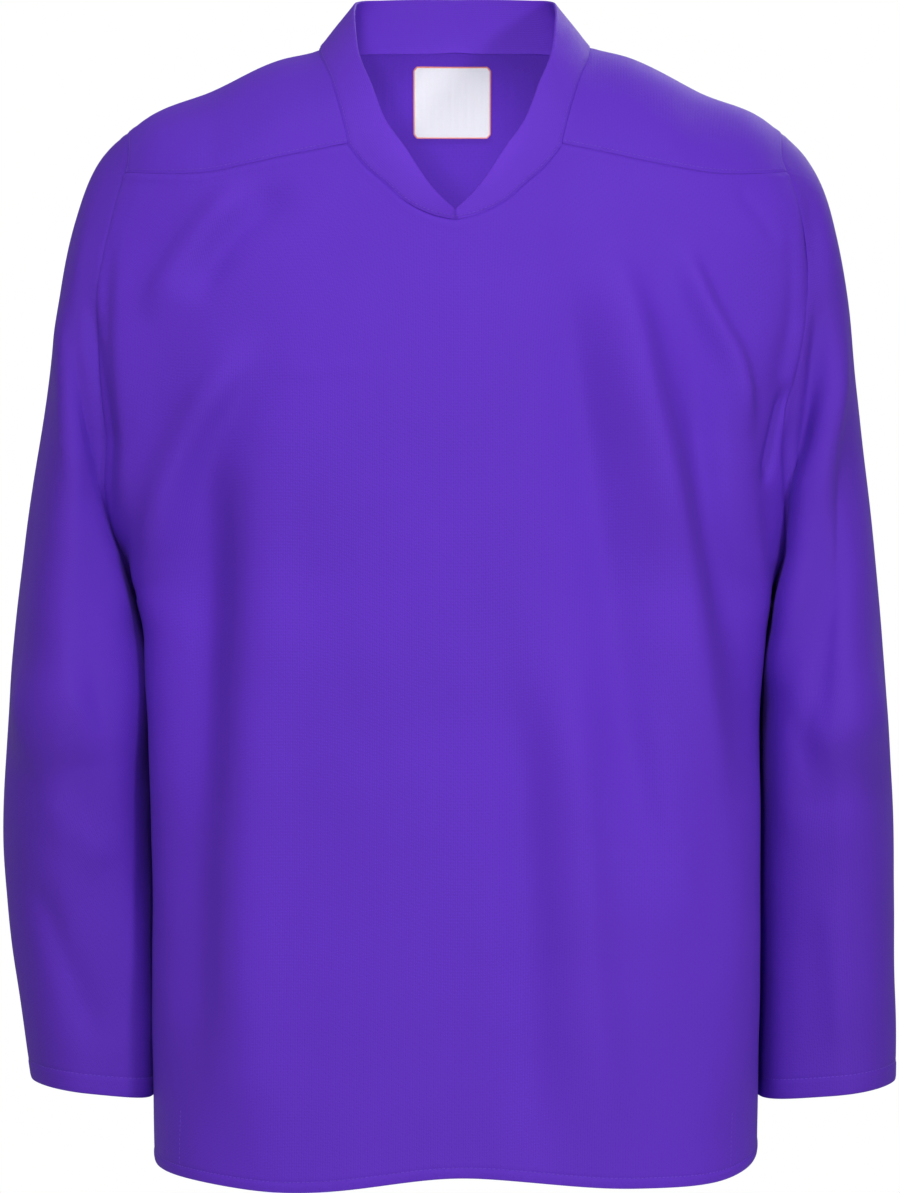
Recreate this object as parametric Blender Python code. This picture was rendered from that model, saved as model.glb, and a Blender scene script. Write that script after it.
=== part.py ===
"""Ice hockey jersey in the shape it has when worn, hollow, with no wearer.

The garment's middle surface is worked out piece by piece from short tables: torso sections,
the armhole, the shoulder ridge, the neck and the sleeve rings. Folds push it out and in, and each
piece then becomes a thin closed wall. Lengths in the tables are millimetres. The origin lies on the
centre plane at the height of the shoulders beside the neck, +Z is up and the front faces -Y.
"""
import math

import bpy
import numpy as np
from mathutils.bvhtree import BVHTree

MM = 0.001

WALL = 2.0  # knitted cloth, with the turned edges and seams that stiffen it
COLLAR_WALL = 2.4  # the neck band is two layers
HEM_WALL = 3.0  # hem and cuffs are turned up once
LABEL_WALL = 0.8
SEAM_GAP = 0.34
LABEL_LIFT = 0.45

UNDERARM_Z = -368.0
SEAM_END_Z = -89.0  # where the front yoke seam meets the armhole
BACK_SEAM_Z = -112.0
JUNCTION_X = 71.0  # where the front yoke seam meets the neck band
LIFT_START_Z = -265.0  # above this the front's rows start to follow its shaped top edge

ROWS_BELOW_ARM = 12
ROWS_BESIDE_FRONT = 10
ROWS_BESIDE_BACK = 9
COLUMNS_V = 5
COLUMNS_SEAM = 9
COLUMNS_BACK = 24
COLUMNS_SHOULDER = 10
ROWS_SLEEVE = 16
ROWS_COLLAR = 3

# torso sections: height, half width below the arm and its shift to the picture's right, depth in
# front and behind, squareness in front and behind
TORSO_COLUMNS = ("z", "side", "shift", "front", "back", "square_front", "square_back")
TORSO = (
    (-765.0, 204.2, 1.0, 150.0, 136.0, 3.15, 2.30),
    (-680.0, 204.6, 0.6, 148.0, 131.0, 3.30, 2.30),
    (-560.0, 205.0, 0.2, 145.0, 125.0, 3.30, 2.32),
    (-480.0, 204.9, 0.0, 143.5, 123.5, 3.25, 2.34),
    (-450.0, 205.0, 0.0, 143.0, 123.0, 3.12, 2.35),
    (-424.0, 205.6, 0.0, 142.8, 123.4, 2.98, 2.35),
    (-400.0, 206.6, 0.0, 142.5, 124.0, 2.84, 2.35),
    (-384.0, 209.0, 0.0, 142.3, 125.0, 2.72, 2.35),
    (-368.0, 212.0, 0.0, 142.0, 126.0, 2.60, 2.35),
    (-300.0, 212.0, 0.0, 140.0, 127.0, 2.50, 2.38),
    (-230.0, 212.0, 0.0, 136.0, 124.0, 2.45, 2.42),
    (-160.0, 212.0, 0.0, 127.0, 114.0, 2.46, 2.46),
    (-110.0, 212.0, 0.0, 117.0, 100.0, 2.50, 2.50),
    (-70.0, 212.0, 0.0, 105.0, 88.0, 2.50, 2.50),
)
ARM_SQUEEZE = 3.0  # how far the columns beside the arm bunch towards it just above the underarm
SQUEEZE_HEIGHT = 60.0

# hem height from the picture's left side to its right, by the share of the half girth
HEM_FRONT = ((-1.0, -753.0), (-0.55, -756.5), (-0.33, -760.5), (0.0, -750.0), (0.36, -758.0),
             (0.52, -758.0), (0.78, -747.5), (1.0, -742.0))
HEM_BACK = ((-1.0, -753.0), (-0.4, -758.0), (0.0, -754.0), (0.4, -757.0), (1.0, -742.0))

# armhole below the yoke (x, y, z), from the end of the front yoke seam down under the arm and up behind
ARMHOLE = (
    (220.0, -50.0, -89.0),
    (225.5, -61.0, -112.0),
    (230.5, -71.0, -150.0),
    (231.5, -77.0, -200.0),
    (228.5, -75.0, -250.0),
    (223.0, -65.0, -300.0),
    (217.0, -46.0, -340.0),
    (213.5, -24.0, -361.0),
    (212.0, 0.0, -368.0),
    (213.0, 25.0, -361.0),
    (215.0, 49.0, -340.0),
    (219.0, 68.0, -300.0),
    (223.0, 79.0, -250.0),
    (225.0, 83.0, -200.0),
    (224.0, 79.0, -150.0),
    (220.0, 70.0, -112.0),
)
UNDERARM_ROW = 8

# top edge of the front (x, z): from the middle up the V, and the yoke seam out to the armhole
V_EDGE = ((0.0, -122.6), (21.0, -116.5), (35.0, -108.5), (45.6, -99.0), (61.5, -84.5), (71.0, -72.0))
YOKE_SEAM = ((71.0, -72.0), (108.0, -79.0), (138.0, -85.0), (168.0, -90.0), (200.0, -90.5), (220.0, -89.0))

# shoulder ridge (x, y, z), outward from the centre; inside the neck it only guides the cloth round it
RIDGE = (
    (0.0, 4.0, 28.0),
    (60.0, 4.0, 15.0),
    (90.0, 3.0, -1.5),
    (118.0, 2.0, -9.5),
    (164.0, 0.0, -32.0),
    (210.0, -2.0, -50.2),
    (222.0, -2.0, -60.0),
)
SHOULDER_ROUNDNESS = 1.35
CLOTH_ROUGHNESS = 0.62
LABEL_ROUGHNESS = 0.7

# neck seam (x, over the shoulder): over is -1 on the front yoke seam, 0 on the ridge, 1 on the back one
NECK = ((71.0, -1.0), (77.0, -0.80), (84.0, -0.55), (90.5, -0.28), (91.0, 0.0), (86.0, 0.15),
        (73.0, 0.26), (50.0, 0.335), (25.0, 0.372), (0.0, 0.383))
NECK_CORNER_ROW = 6

# top edge of the neck band (x, y, z), from the V's tip round to the centre back, and the share of the
# band's half length at each of its rows
BAND_TOP = (
    (0.0, -119.0, -116.6),
    (17.8, -116.0, -98.8),
    (34.2, -110.5, -74.0),
    (46.2, -101.5, -57.0),
    (56.0, -86.0, -32.0),
    (65.0, -62.0, -9.0),
    (68.0, -30.0, 13.0),
    (68.5, 4.0, 26.5),
    (66.0, 30.0, 32.0),
    (50.0, 44.0, 34.0),
    (25.0, 49.0, 35.0),
    (0.0, 50.5, 35.0),
)
BAND_TOP_STATIONS = (0.0, 0.105, 0.20, 0.28, 0.38, 0.48, 0.57, 0.66, 0.745, 0.84, 0.92, 1.0)
BAND_BULGE = 1.2
NECK_MIDDLE_Y = -25.0  # the band bulges away from here

# sleeve rings beyond the armhole: outermost and innermost point, depth in front and behind, how far
# the front and back bow outward, how far the inner side is set back behind the outer one, and how
# square the ring is in front towards the body
SLEEVE_COLUMNS = ("outer_x", "outer_z", "inner_x", "inner_z", "front", "back", "bow", "slant",
                  "square")
SLEEVE_RIGHT = (  # the wearer's right sleeve hangs on the picture's left
    (242.7, -82.0, 219.0, -373.5, 74.0, 81.0, 15.0, 0.0, 2.0),
    (256.7, -120.0, 219.5, -383.0, 74.0, 82.0, 12.0, 5.0, 2.0),
    (266.7, -170.0, 217.0, -394.0, 77.0, 83.0, 8.0, 13.0, 2.1),
    (275.7, -232.0, 213.5, -407.0, 82.0, 83.0, 4.5, 20.0, 2.3),
    (286.7, -300.0, 211.3, -424.0, 84.0, 81.0, 2.5, 24.0, 2.6),
    (297.2, -372.0, 209.6, -449.0, 85.0, 77.0, 1.0, 25.0, 2.8),
    (304.2, -447.0, 208.8, -488.0, 83.0, 71.0, 0.0, 25.0, 2.9),
    (308.7, -520.0, 208.8, -541.0, 79.0, 64.0, 0.0, 25.0, 2.9),
    (305.7, -585.0, 209.0, -597.0, 77.0, 57.0, 0.0, 24.0, 2.9),
    (297.7, -645.0, 209.2, -655.0, 74.0, 50.0, 0.0, 22.0, 2.9),
    (289.7, -704.0, 208.8, -712.5, 68.0, 45.0, 0.0, 19.0, 2.8),
)
SLEEVE_LEFT = (
    (241.3, -82.0, 219.0, -373.5, 74.0, 81.0, 15.0, 0.0, 2.0),
    (255.3, -120.0, 219.5, -383.0, 74.0, 82.0, 12.0, 5.0, 2.0),
    (265.8, -170.0, 217.0, -394.0, 77.0, 83.0, 8.0, 13.0, 2.1),
    (272.8, -232.0, 213.5, -407.0, 82.0, 83.0, 4.5, 20.0, 2.3),
    (280.3, -300.0, 211.3, -424.0, 84.0, 81.0, 2.5, 24.0, 2.6),
    (287.3, -372.0, 209.6, -449.0, 85.0, 77.0, 1.0, 25.0, 2.8),
    (293.8, -447.0, 208.8, -488.0, 82.0, 71.0, 0.0, 25.0, 2.9),
    (298.8, -520.0, 208.8, -541.0, 78.0, 64.0, 0.0, 25.0, 2.9),
    (300.8, -585.0, 209.0, -597.0, 76.0, 57.0, 0.0, 24.0, 2.9),
    (301.3, -645.0, 209.4, -655.0, 74.0, 50.0, 0.0, 22.0, 2.9),
    (300.8, -705.0, 209.6, -714.5, 69.0, 45.0, 0.0, 19.0, 2.8),
)

# folds (x0, z0, x1, z1, x2, z2, width, depth): a ridge, or with a negative depth a soft trough, along a
# bent line through three points
FRONT_FOLDS = (
    (-127.0, -100.0, -166.0, -128.0, -204.0, -190.0, 13.0, 3.0),
    (-122.0, -190.0, -178.0, -274.0, -200.0, -400.0, 15.0, 4.0),
    (-108.0, -204.0, -151.0, -254.0, -168.0, -350.0, 17.0, -7.0),
    (-168.0, -335.0, -175.0, -520.0, -182.0, -770.0, 18.0, -7.0),
    (-119.0, -234.0, -132.0, -300.0, -132.0, -420.0, 22.0, 4.0),
    (-132.0, -380.0, -133.0, -540.0, -130.0, -770.0, 24.0, 5.0),
    (88.0, -132.0, 126.0, -245.0, 150.0, -380.0, 19.0, 6.0),
    (148.0, -340.0, 156.0, -425.0, 168.0, -510.0, 19.0, 5.0),
    (152.0, -165.0, 167.0, -315.0, 197.0, -510.0, 13.0, -4.0),
    (160.0, -165.0, 186.0, -230.0, 195.0, -350.0, 12.0, 3.5),
    (66.0, -370.0, 82.0, -540.0, 99.0, -770.0, 22.0, 5.0),
    (38.0, -400.0, 47.0, -560.0, 52.0, -770.0, 18.0, -4.0),
    (-206.0, -112.0, -212.0, -180.0, -209.0, -300.0, 13.0, -3.0),
)
BACK_FOLDS = (
    (-120.0, -130.0, -150.0, -250.0, -150.0, -420.0, 28.0, 6.0),
    (-150.0, -410.0, -158.0, -590.0, -150.0, -765.0, 28.0, 6.5),
    (-184.0, -320.0, -187.0, -560.0, -182.0, -770.0, 20.0, -5.0),
    (-56.0, -480.0, -66.0, -620.0, -62.0, -765.0, 28.0, 5.0),
    (-106.0, -480.0, -108.0, -640.0, -106.0, -765.0, 28.0, -5.0),
    (12.0, -420.0, 8.0, -600.0, 14.0, -765.0, 32.0, -4.5),
    (118.0, -140.0, 148.0, -260.0, 146.0, -430.0, 28.0, 6.0),
    (146.0, -420.0, 154.0, -600.0, 148.0, -765.0, 28.0, 6.5),
    (184.0, -330.0, 186.0, -560.0, 184.0, -770.0, 20.0, -5.0),
    (74.0, -500.0, 84.0, -640.0, 80.0, -765.0, 28.0, 5.0),
)
SLEEVE_FOLDS = (
    (-300.0, -482.0, -265.0, -470.0, -222.0, -460.0, 20.0, -4.5),
    (-300.0, -430.0, -270.0, -420.0, -240.0, -414.0, 20.0, 3.5),
    (256.0, -160.0, 238.0, -240.0, 226.0, -320.0, 12.0, -3.0),
    (262.0, -190.0, 248.0, -280.0, 236.0, -380.0, 13.0, 4.0),
    (296.0, -500.0, 262.0, -505.0, 226.0, -510.0, 20.0, -4.0),
    (294.0, -440.0, 262.0, -448.0, 236.0, -460.0, 20.0, 3.5),
)

LABEL = {"left": -29.0, "right": 25.0, "top": -8.0, "bottom": -58.0, "columns": 8, "rows": 7}

CLOTH_COLOUR = (0.119, 0.034, 0.539, 1.0)
BAND_COLOUR = (0.138, 0.042, 0.604, 1.0)
LABEL_COLOUR = (0.88, 0.87, 0.86, 1.0)


def named(columns, rows):
    """A table's columns by name."""
    return dict(zip(columns, np.array(rows, float).T))


def smooth_curve(stations, values, at):
    """A cubic through a table's rows, its slopes taken from the neighbouring rows."""
    stations = np.asarray(stations, float)
    values = np.asarray(values, float)
    flat = values.ndim == 1
    if flat:
        values = values[:, None]
    at = np.clip(np.asarray(at, float), stations[0], stations[-1])
    gaps = np.diff(stations)[:, None]
    steps = np.diff(values, axis=0) / gaps
    slopes = np.empty_like(values)
    slopes[1:-1] = (steps[:-1] * gaps[1:] + steps[1:] * gaps[:-1]) / (gaps[1:] + gaps[:-1])
    slopes[0] = 1.5 * steps[0] - 0.5 * slopes[1]
    slopes[-1] = 1.5 * steps[-1] - 0.5 * slopes[-2]
    row = np.clip(np.searchsorted(stations, at, side="right") - 1, 0, len(stations) - 2)
    gap = gaps[row, 0][..., None]
    t = (at - stations[row])[..., None] / gap
    result = (
        (1 + 2 * t) * (1 - t) ** 2 * values[row]
        + t * (1 - t) ** 2 * gap * slopes[row]
        + t * t * (3 - 2 * t) * values[row + 1]
        + t * t * (t - 1) * gap * slopes[row + 1]
    )
    return result[..., 0] if flat else result


def soft_step(value):
    t = np.clip(value, 0.0, 1.0)
    return t * t * (3 - 2 * t)


def chord_stations(points):
    """Running length through a row of points."""
    lengths = np.linalg.norm(np.diff(points, axis=0), axis=1)
    return np.concatenate(([0.0], np.cumsum(lengths)))


def even_points(curve, count):
    """Stations that cut a curve, given as a function of 0 to 1, into equal lengths."""
    fine = np.linspace(0.0, 1.0, 400)
    run = chord_stations(curve(fine))
    return np.interp(np.linspace(0.0, run[-1], count + 1), run, fine)


# ---------------------------------------------------------------- torso

TORSO_TABLE = named(TORSO_COLUMNS, TORSO)
TORSO_Z = TORSO_TABLE["z"]
ARMHOLE_POINTS = np.array(ARMHOLE)
ARMHOLE_RUN = chord_stations(ARMHOLE_POINTS)
UNDERARM_RUN = ARMHOLE_RUN[UNDERARM_ROW]


def armhole(run):
    """A point of the picture-right armhole, by its length from the front yoke seam."""
    return smooth_curve(ARMHOLE_RUN, ARMHOLE_POINTS, run)


FRONT_ARMHOLE_FINE = armhole(np.linspace(UNDERARM_RUN, 0.0, 300))
BACK_ARMHOLE_FINE = armhole(np.linspace(UNDERARM_RUN, ARMHOLE_RUN[-1], 300))


def section(z, behind):
    """Half width, depth, squareness and end angle of the torso's front or back at a height."""
    depth = smooth_curve(TORSO_Z, TORSO_TABLE["back" if behind else "front"], z)
    square = smooth_curve(TORSO_Z, TORSO_TABLE["square_back" if behind else "square_front"], z)
    side = smooth_curve(TORSO_Z, TORSO_TABLE["side"], z)
    fine = BACK_ARMHOLE_FINE if behind else FRONT_ARMHOLE_FINE
    hole_x = np.interp(z, fine[:, 2], fine[:, 0])
    hole_y = np.abs(np.interp(z, fine[:, 2], fine[:, 1]))
    beside_arm = z > UNDERARM_Z
    share = np.where(beside_arm, hole_y / depth, 0.0)
    reach = (1 - share ** square) ** (1 / square)
    half_width = np.where(beside_arm, hole_x / reach, side)
    end_angle = np.where(beside_arm, np.arctan2(reach, share), math.pi / 2)
    return half_width, depth, square, end_angle


def torso(across, z, behind=False):
    """A point of the torso: across runs from -1 on the picture's left seam to 1 on its right."""
    across, z = np.broadcast_arrays(np.asarray(across, float), np.asarray(z, float))
    half_width, depth, square, end_angle = section(z, behind)
    bunch = 1 + ARM_SQUEEZE * np.exp(-np.maximum(z - UNDERARM_Z, 0.0) / SQUEEZE_HEIGHT)
    squeezed = (math.pi / 2 - end_angle) * np.abs(across) ** bunch
    angle = math.pi / 2 * across - squeezed * np.sign(across)
    radius = (np.abs(np.sin(angle)) ** square + np.abs(np.cos(angle)) ** square) ** (1 / square)
    x = half_width * np.sin(angle) / radius + smooth_curve(TORSO_Z, TORSO_TABLE["shift"], z)
    y = depth * np.cos(angle) / radius * (1 if behind else -1)
    return np.stack([x, y, z], axis=-1)


def across_at(x, z, behind=False):
    """The across value that puts a torso point at distance x from the centre."""
    x, z = np.broadcast_arrays(np.asarray(x, float), np.asarray(z, float))
    low, high = np.zeros(x.shape), np.ones(x.shape)
    for _ in range(40):
        middle = (low + high) / 2
        short = torso(middle, z, behind)[..., 0] < np.abs(x)
        low = np.where(short, middle, low)
        high = np.where(short, high, middle)
    return np.sign(x) * (low + high) / 2


def top_edge_z(x):
    """Height of the front's top edge."""
    x = np.abs(x)
    v_part = smooth_curve(*np.array(V_EDGE).T, x)
    seam_part = smooth_curve(*np.array(YOKE_SEAM).T, x)
    return np.where(x < JUNCTION_X, v_part, seam_part)


def front_columns():
    """Across values of the front's columns, with one on the centre and one at each junction."""
    junction = float(across_at(JUNCTION_X, top_edge_z(JUNCTION_X)))
    inner = np.linspace(0.0, junction, COLUMNS_V + 1)
    outer = np.linspace(junction, 1.0, COLUMNS_SEAM + 1)
    half = np.concatenate((inner, outer[1:]))
    return np.concatenate((-half[:0:-1], half))


def front_top(across):
    """The top edge points of the front's columns."""
    z = np.full(across.shape, SEAM_END_Z)
    for _ in range(8):
        z = top_edge_z(torso(across, z)[:, 0])
    return torso(across, z)


def armhole_rows(count, behind):
    """Heights of the rows that end on the armhole, from the underarm up."""
    end = ARMHOLE_RUN[-1] if behind else 0.0
    return armhole(np.linspace(UNDERARM_RUN, end, count + 1))[:, 2]


def torso_grid(across, hem_table, top, row_count, behind):
    """The rows of the front or back, from the hem up."""
    hem = smooth_curve(*np.array(hem_table).T, across)
    beside = armhole_rows(row_count, behind)
    end_z = beside[-1]
    rows = []
    for share in np.linspace(0.0, 1.0, ROWS_BELOW_ARM + 1)[:-1]:
        rows.append(torso(across, hem + (UNDERARM_Z - hem) * share, behind))
    for z in beside:
        follow = soft_step((z - LIFT_START_Z) / (end_z - LIFT_START_Z))
        rows.append(torso(across, z + follow * (top[:, 2] - end_z), behind))
    rows[-1] = top
    return np.array(rows)


# ---------------------------------------------------------------- shoulders

RIDGE_TABLE = np.array(RIDGE)
SHOULDER_X = RIDGE[-1][0]


def curve_between(start, start_slope, end, end_slope, t):
    return (
        (1 + 2 * t) * (1 - t) ** 2 * start
        + t * (1 - t) ** 2 * start_slope
        + t * t * (3 - 2 * t) * end
        + t * t * (t - 1) * end_slope
    )


def shoulder(out, over):
    """A point of the yoke: out is -1 to 1 between the armholes, over is -1 to 1 front to back."""
    out, over = np.broadcast_arrays(np.asarray(out, float), np.asarray(over, float))
    small = 2.0
    ridge = smooth_curve(RIDGE_TABLE[:, 0], RIDGE_TABLE, np.abs(out) * SHOULDER_X)
    ridge[..., 0] *= np.sign(out)
    result = np.empty(out.shape + (3,))
    for behind in (False, True):
        end_x = ARMHOLE_POINTS[-1 if behind else 0, 0]
        x = out * end_x
        if behind:
            z = np.full(x.shape, BACK_SEAM_Z)
        else:
            z = smooth_curve(*np.array(YOKE_SEAM).T, np.abs(x))
        across = across_at(x, z, behind)
        seam = torso(across, z, behind)
        rise = (seam - torso(across, z - small, behind)) / small
        height = (ridge[..., 2] - seam[..., 2])[..., None]
        run = (ridge[..., 1] - seam[..., 1])[..., None]
        up = rise * height * SHOULDER_ROUNDNESS
        level = np.array([0.0, 1.0, 0.0]) * run * SHOULDER_ROUNDNESS
        t = 1 - np.abs(over)[..., None]
        points = curve_between(seam, up, ridge, level, t)
        mask = (over > 0) if behind else (over <= 0)
        result[mask] = points[mask]
    return result


def neck_curve(first, last):
    """A stretch of the neck seam, in the yoke's own out and over values, as a function of 0 to 1."""
    rows = np.array(NECK)
    rows[:, 0] /= SHOULDER_X
    stations = np.linspace(0.0, 1.0, len(rows))
    start, end = stations[first], stations[last]
    return lambda t: smooth_curve(stations, rows, start + (end - start) * np.asarray(t))


def yoke_grid(seam_shares):
    """Yoke points: rows from the neck seam outward, columns from front left round to front right."""
    corner = NECK_CORNER_ROW
    side_curve, back_curve = neck_curve(0, corner), neck_curve(corner, len(NECK) - 1)
    side_at = even_points(lambda t: shoulder(*side_curve(t).T), COLUMNS_SHOULDER)
    back_at = even_points(lambda t: shoulder(*back_curve(t).T), COLUMNS_BACK // 2)
    arc_at = even_points(lambda t: shoulder(np.ones_like(t), 2 * t - 1), COLUMNS_SHOULDER)
    neck = np.concatenate((side_curve(side_at), back_curve(back_at)[1:]))
    side_edge = np.stack([np.ones_like(arc_at), 2 * arc_at - 1], axis=1)
    back_out = torso(np.linspace(1.0, 0.0, COLUMNS_BACK // 2 + 1), BACK_SEAM_Z, True)[:, 0]
    back_edge = np.stack([back_out / ARMHOLE_POINTS[-1, 0], np.ones_like(back_out)], axis=1)
    edge = np.concatenate((side_edge, back_edge[1:]))
    share = seam_shares[:, None, None]
    half = neck[None] * (1 - share) + edge[None] * share
    mirrored = half * np.array([-1.0, 1.0])
    flat = np.concatenate((mirrored, half[:, -2::-1]), axis=1)
    return shoulder(flat[..., 0], flat[..., 1])


# ---------------------------------------------------------------- sleeves and neck band

def ring_angles(loop):
    """Each armhole point's angle on the sleeve rings: 0 outermost, 90 behind, 180 under the arm."""
    closed = np.concatenate((loop, loop[:1]))
    run = chord_stations(closed)
    marks = [COLUMNS_SHOULDER // 2, int(np.argmax(loop[:, 1])),
             COLUMNS_SHOULDER + ROWS_BESIDE_BACK, int(np.argmin(loop[:, 1]))]
    at = [run[mark] for mark in marks] + [run[marks[0]] + run[-1]]
    here = run[:-1] + np.where(run[:-1] < at[0], run[-1], 0.0)
    angle = smooth_curve(at, [0.0, 90.0, 180.0, 270.0, 360.0], here)
    return np.radians(angle)


def sleeve_grid(loop, rings, side):
    """Sleeve points from the armhole loop down to the cuff."""
    table = named(SLEEVE_COLUMNS, rings)
    angle = ring_angles(loop)
    to_body = (np.cos(angle) < 0) & (np.sin(angle) < 0)
    stations = [loop]
    for row in range(len(rings)):
        outer = np.array([side * table["outer_x"][row], 0.0, table["outer_z"][row]])
        inner = np.array([side * table["inner_x"][row], 0.0, table["inner_z"][row]])
        middle, half = (outer + inner) / 2, (outer - inner) / 2
        power = np.where(to_body, table["square"][row], 2.0)
        radius = (np.abs(np.cos(angle)) ** power + np.abs(np.sin(angle)) ** power) ** (1 / power)
        out, turn = np.cos(angle) / radius, np.sin(angle) / radius
        depth = np.where(turn > 0, table["back"][row], table["front"][row])
        points = middle + half * out[:, None]
        points[:, 1] += depth * turn + table["slant"][row] * ((1 - np.cos(angle)) / 2) ** 2
        points[:, 0] += side * table["bow"][row] * turn ** 2
        stations.append(points)
    stations = np.array(stations)
    last = len(rings)
    at = np.linspace(0.0, last, ROWS_SLEEVE + 1)
    flat = smooth_curve(np.arange(last + 1.0), stations.reshape(last + 1, -1), at)
    return flat.reshape(len(at), -1, 3)


def band_grid(seam):
    """Neck band from its seam to its top edge, starting and ending at the tip of the V."""
    run = chord_stations(seam)
    middle = run[-1] / 2
    share = 1 - np.abs(run - middle) / middle
    top = smooth_curve(BAND_TOP_STATIONS, np.array(BAND_TOP), share)
    top[:, 0] *= np.where(run < middle, -1.0, 1.0)
    rows = []
    for t in np.linspace(0.0, 1.0, ROWS_COLLAR + 1):
        points = seam * (1 - t) + top * t
        away = points[:, :2] - np.array([0.0, NECK_MIDDLE_Y])
        away /= np.linalg.norm(away, axis=1)[:, None]
        points[:, :2] += away * (BAND_BULGE * math.sin(math.pi * t) * soft_step(share * 6))[:, None]
        rows.append(points)
    return np.array(rows)


# ---------------------------------------------------------------- folds

def fold_depth(points, folds, facing):
    """How far the folds push cloth out at each point, for cloth facing the given way in y."""
    total = np.zeros(points.shape[:-1])
    spot = points[..., (0, 2)]
    t = np.linspace(0.0, 1.0, 25)
    ease = soft_step(t * 3.5) * soft_step((1 - t) * 3.5)
    for x0, z0, x1, z1, x2, z2, width, depth in folds:
        line = np.stack([(1 - t) ** 2 * p + 2 * t * (1 - t) * (2 * q - (p + r) / 2) + t * t * r
                         for p, q, r in ((x0, x1, x2), (z0, z1, z2))], axis=1)
        distance = np.linalg.norm(spot[..., None, :] - line, axis=-1)
        nearest = distance.argmin(axis=-1)
        closest = np.take_along_axis(distance, nearest[..., None], axis=-1)[..., 0]
        total += depth * ease[nearest] * np.exp(-((closest / width) ** 2))
    return total * facing


def panel_normals(grids):
    """Outward normals at every grid point, shared where pieces meet along a seam."""
    gathered = {}
    keys = {}
    for name, grid in grids.items():
        rows, columns, _ = grid.shape
        closed = name.startswith("sleeve")
        span = columns if closed else columns - 1
        normals = np.zeros_like(grid)
        for i in range(rows - 1):
            for j in range(span):
                k = (j + 1) % columns
                corners = ((i, j), (i, k), (i + 1, k), (i + 1, j))
                a, b, c, d = (grid[spot] for spot in corners)
                normal = np.cross(c - a, d - b)
                normal /= np.linalg.norm(normal)
                for spot in corners:
                    normals[spot] += normal
        keys[name] = np.round(grid, 2)
        for i in range(rows):
            for j in range(columns):
                key = tuple(keys[name][i, j])
                gathered[key] = gathered.get(key, 0) + normals[i, j]
    result = {}
    for name, grid in grids.items():
        rows, columns, _ = grid.shape
        shared = np.array([[gathered[tuple(keys[name][i, j])] for j in range(columns)]
                           for i in range(rows)])
        result[name] = shared / np.linalg.norm(shared, axis=-1)[..., None]
    return result


def folded(grids):
    """The same points with the folds pressed in."""
    normals = panel_normals(grids)
    result = {}
    for name, grid in grids.items():
        if name == "collar":
            result[name] = grid
            continue
        normal = normals[name]
        forward = soft_step(-normal[..., 1] * 1.6)
        backward = soft_step(normal[..., 1] * 1.6)
        push = fold_depth(grid, FRONT_FOLDS + SLEEVE_FOLDS, forward)
        push += fold_depth(grid, BACK_FOLDS, backward)
        result[name] = grid + normal * push[..., None]
    return result


# ---------------------------------------------------------------- solids

def draw_in(edge, inner, normals, closed):
    """How far an edge moves, square to itself and within the cloth, to open half the seam gap."""
    if closed:
        along = np.roll(edge, -1, axis=0) - np.roll(edge, 1, axis=0)
    else:
        along = np.gradient(edge, axis=0)
    square = np.cross(normals, along)
    square *= np.sign((square * (inner - edge)).sum(axis=-1))[:, None]
    return square * (SEAM_GAP / 2 / np.linalg.norm(square, axis=-1))[:, None]


def shrink_edges(grid, normals, closed):
    """The grid with its edges drawn in by half the seam gap."""
    result = grid.copy()
    for edge, inner in ((0, 1), (-1, -2)):
        result[edge] += draw_in(grid[edge], grid[inner], normals[edge], closed)
        if not closed:
            result[:, edge] += draw_in(grid[:, edge], grid[:, inner], normals[:, edge], closed)
    return result


def wall_mesh(grid, normals, thickness, closed):
    """Points and faces of a wall of the given thickness about a grid."""
    rows, columns, _ = grid.shape
    half = thickness[..., None] / 2
    points = np.concatenate(((grid + normals * half).reshape(-1, 3),
                             (grid - normals * half).reshape(-1, 3)))
    inside = rows * columns
    span = columns if closed else columns - 1
    faces = []
    for i in range(rows - 1):
        for j in range(span):
            k = (j + 1) % columns
            a, b, c, d = i * columns + j, i * columns + k, (i + 1) * columns + k, (i + 1) * columns + j
            if np.linalg.norm(grid[i, j] - grid[i + 1, k]) > np.linalg.norm(grid[i, k] - grid[i + 1, j]):
                a, b, c, d = b, c, d, a
            for p, q, r in ((a, b, c), (a, c, d)):
                faces.append((p, q, r))
                faces.append((inside + r, inside + q, inside + p))
    rim = [(i * columns + j, i * columns + (j + 1) % columns, i == 0)
           for i in (0, rows - 1) for j in range(span)]
    if not closed:
        rim += [(i * columns + j, (i + 1) * columns + j, j != 0)
                for j in (0, columns - 1) for i in range(rows - 1)]
    for a, b, turned in rim:
        p, q, r, s = a, inside + a, inside + b, b
        if np.linalg.norm(points[p] - points[r]) > np.linalg.norm(points[q] - points[s]):
            p, q, r, s = q, r, s, p
        for face in ((p, q, r), (p, r, s)):
            faces.append(face if turned else face[::-1])
    return points, faces


def add_object(name, points, faces, colour, roughness):
    mesh = bpy.data.meshes.new(name)
    mesh.from_pydata((points * MM).tolist(), [], faces)
    mesh.update()
    piece = bpy.data.objects.new(name, mesh)
    bpy.context.scene.collection.objects.link(piece)
    material = bpy.data.materials.new(name + "_cloth")
    material.use_nodes = True
    shader = material.node_tree.nodes["Principled BSDF"]
    shader.inputs["Base Color"].default_value = colour
    shader.inputs["Roughness"].default_value = roughness
    shader.inputs["Metallic"].default_value = 0.0
    material.diffuse_color = colour
    mesh.materials.append(material)
    mesh.shade_smooth()
    mesh.set_sharp_from_angle(angle=math.radians(50))
    return piece


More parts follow.
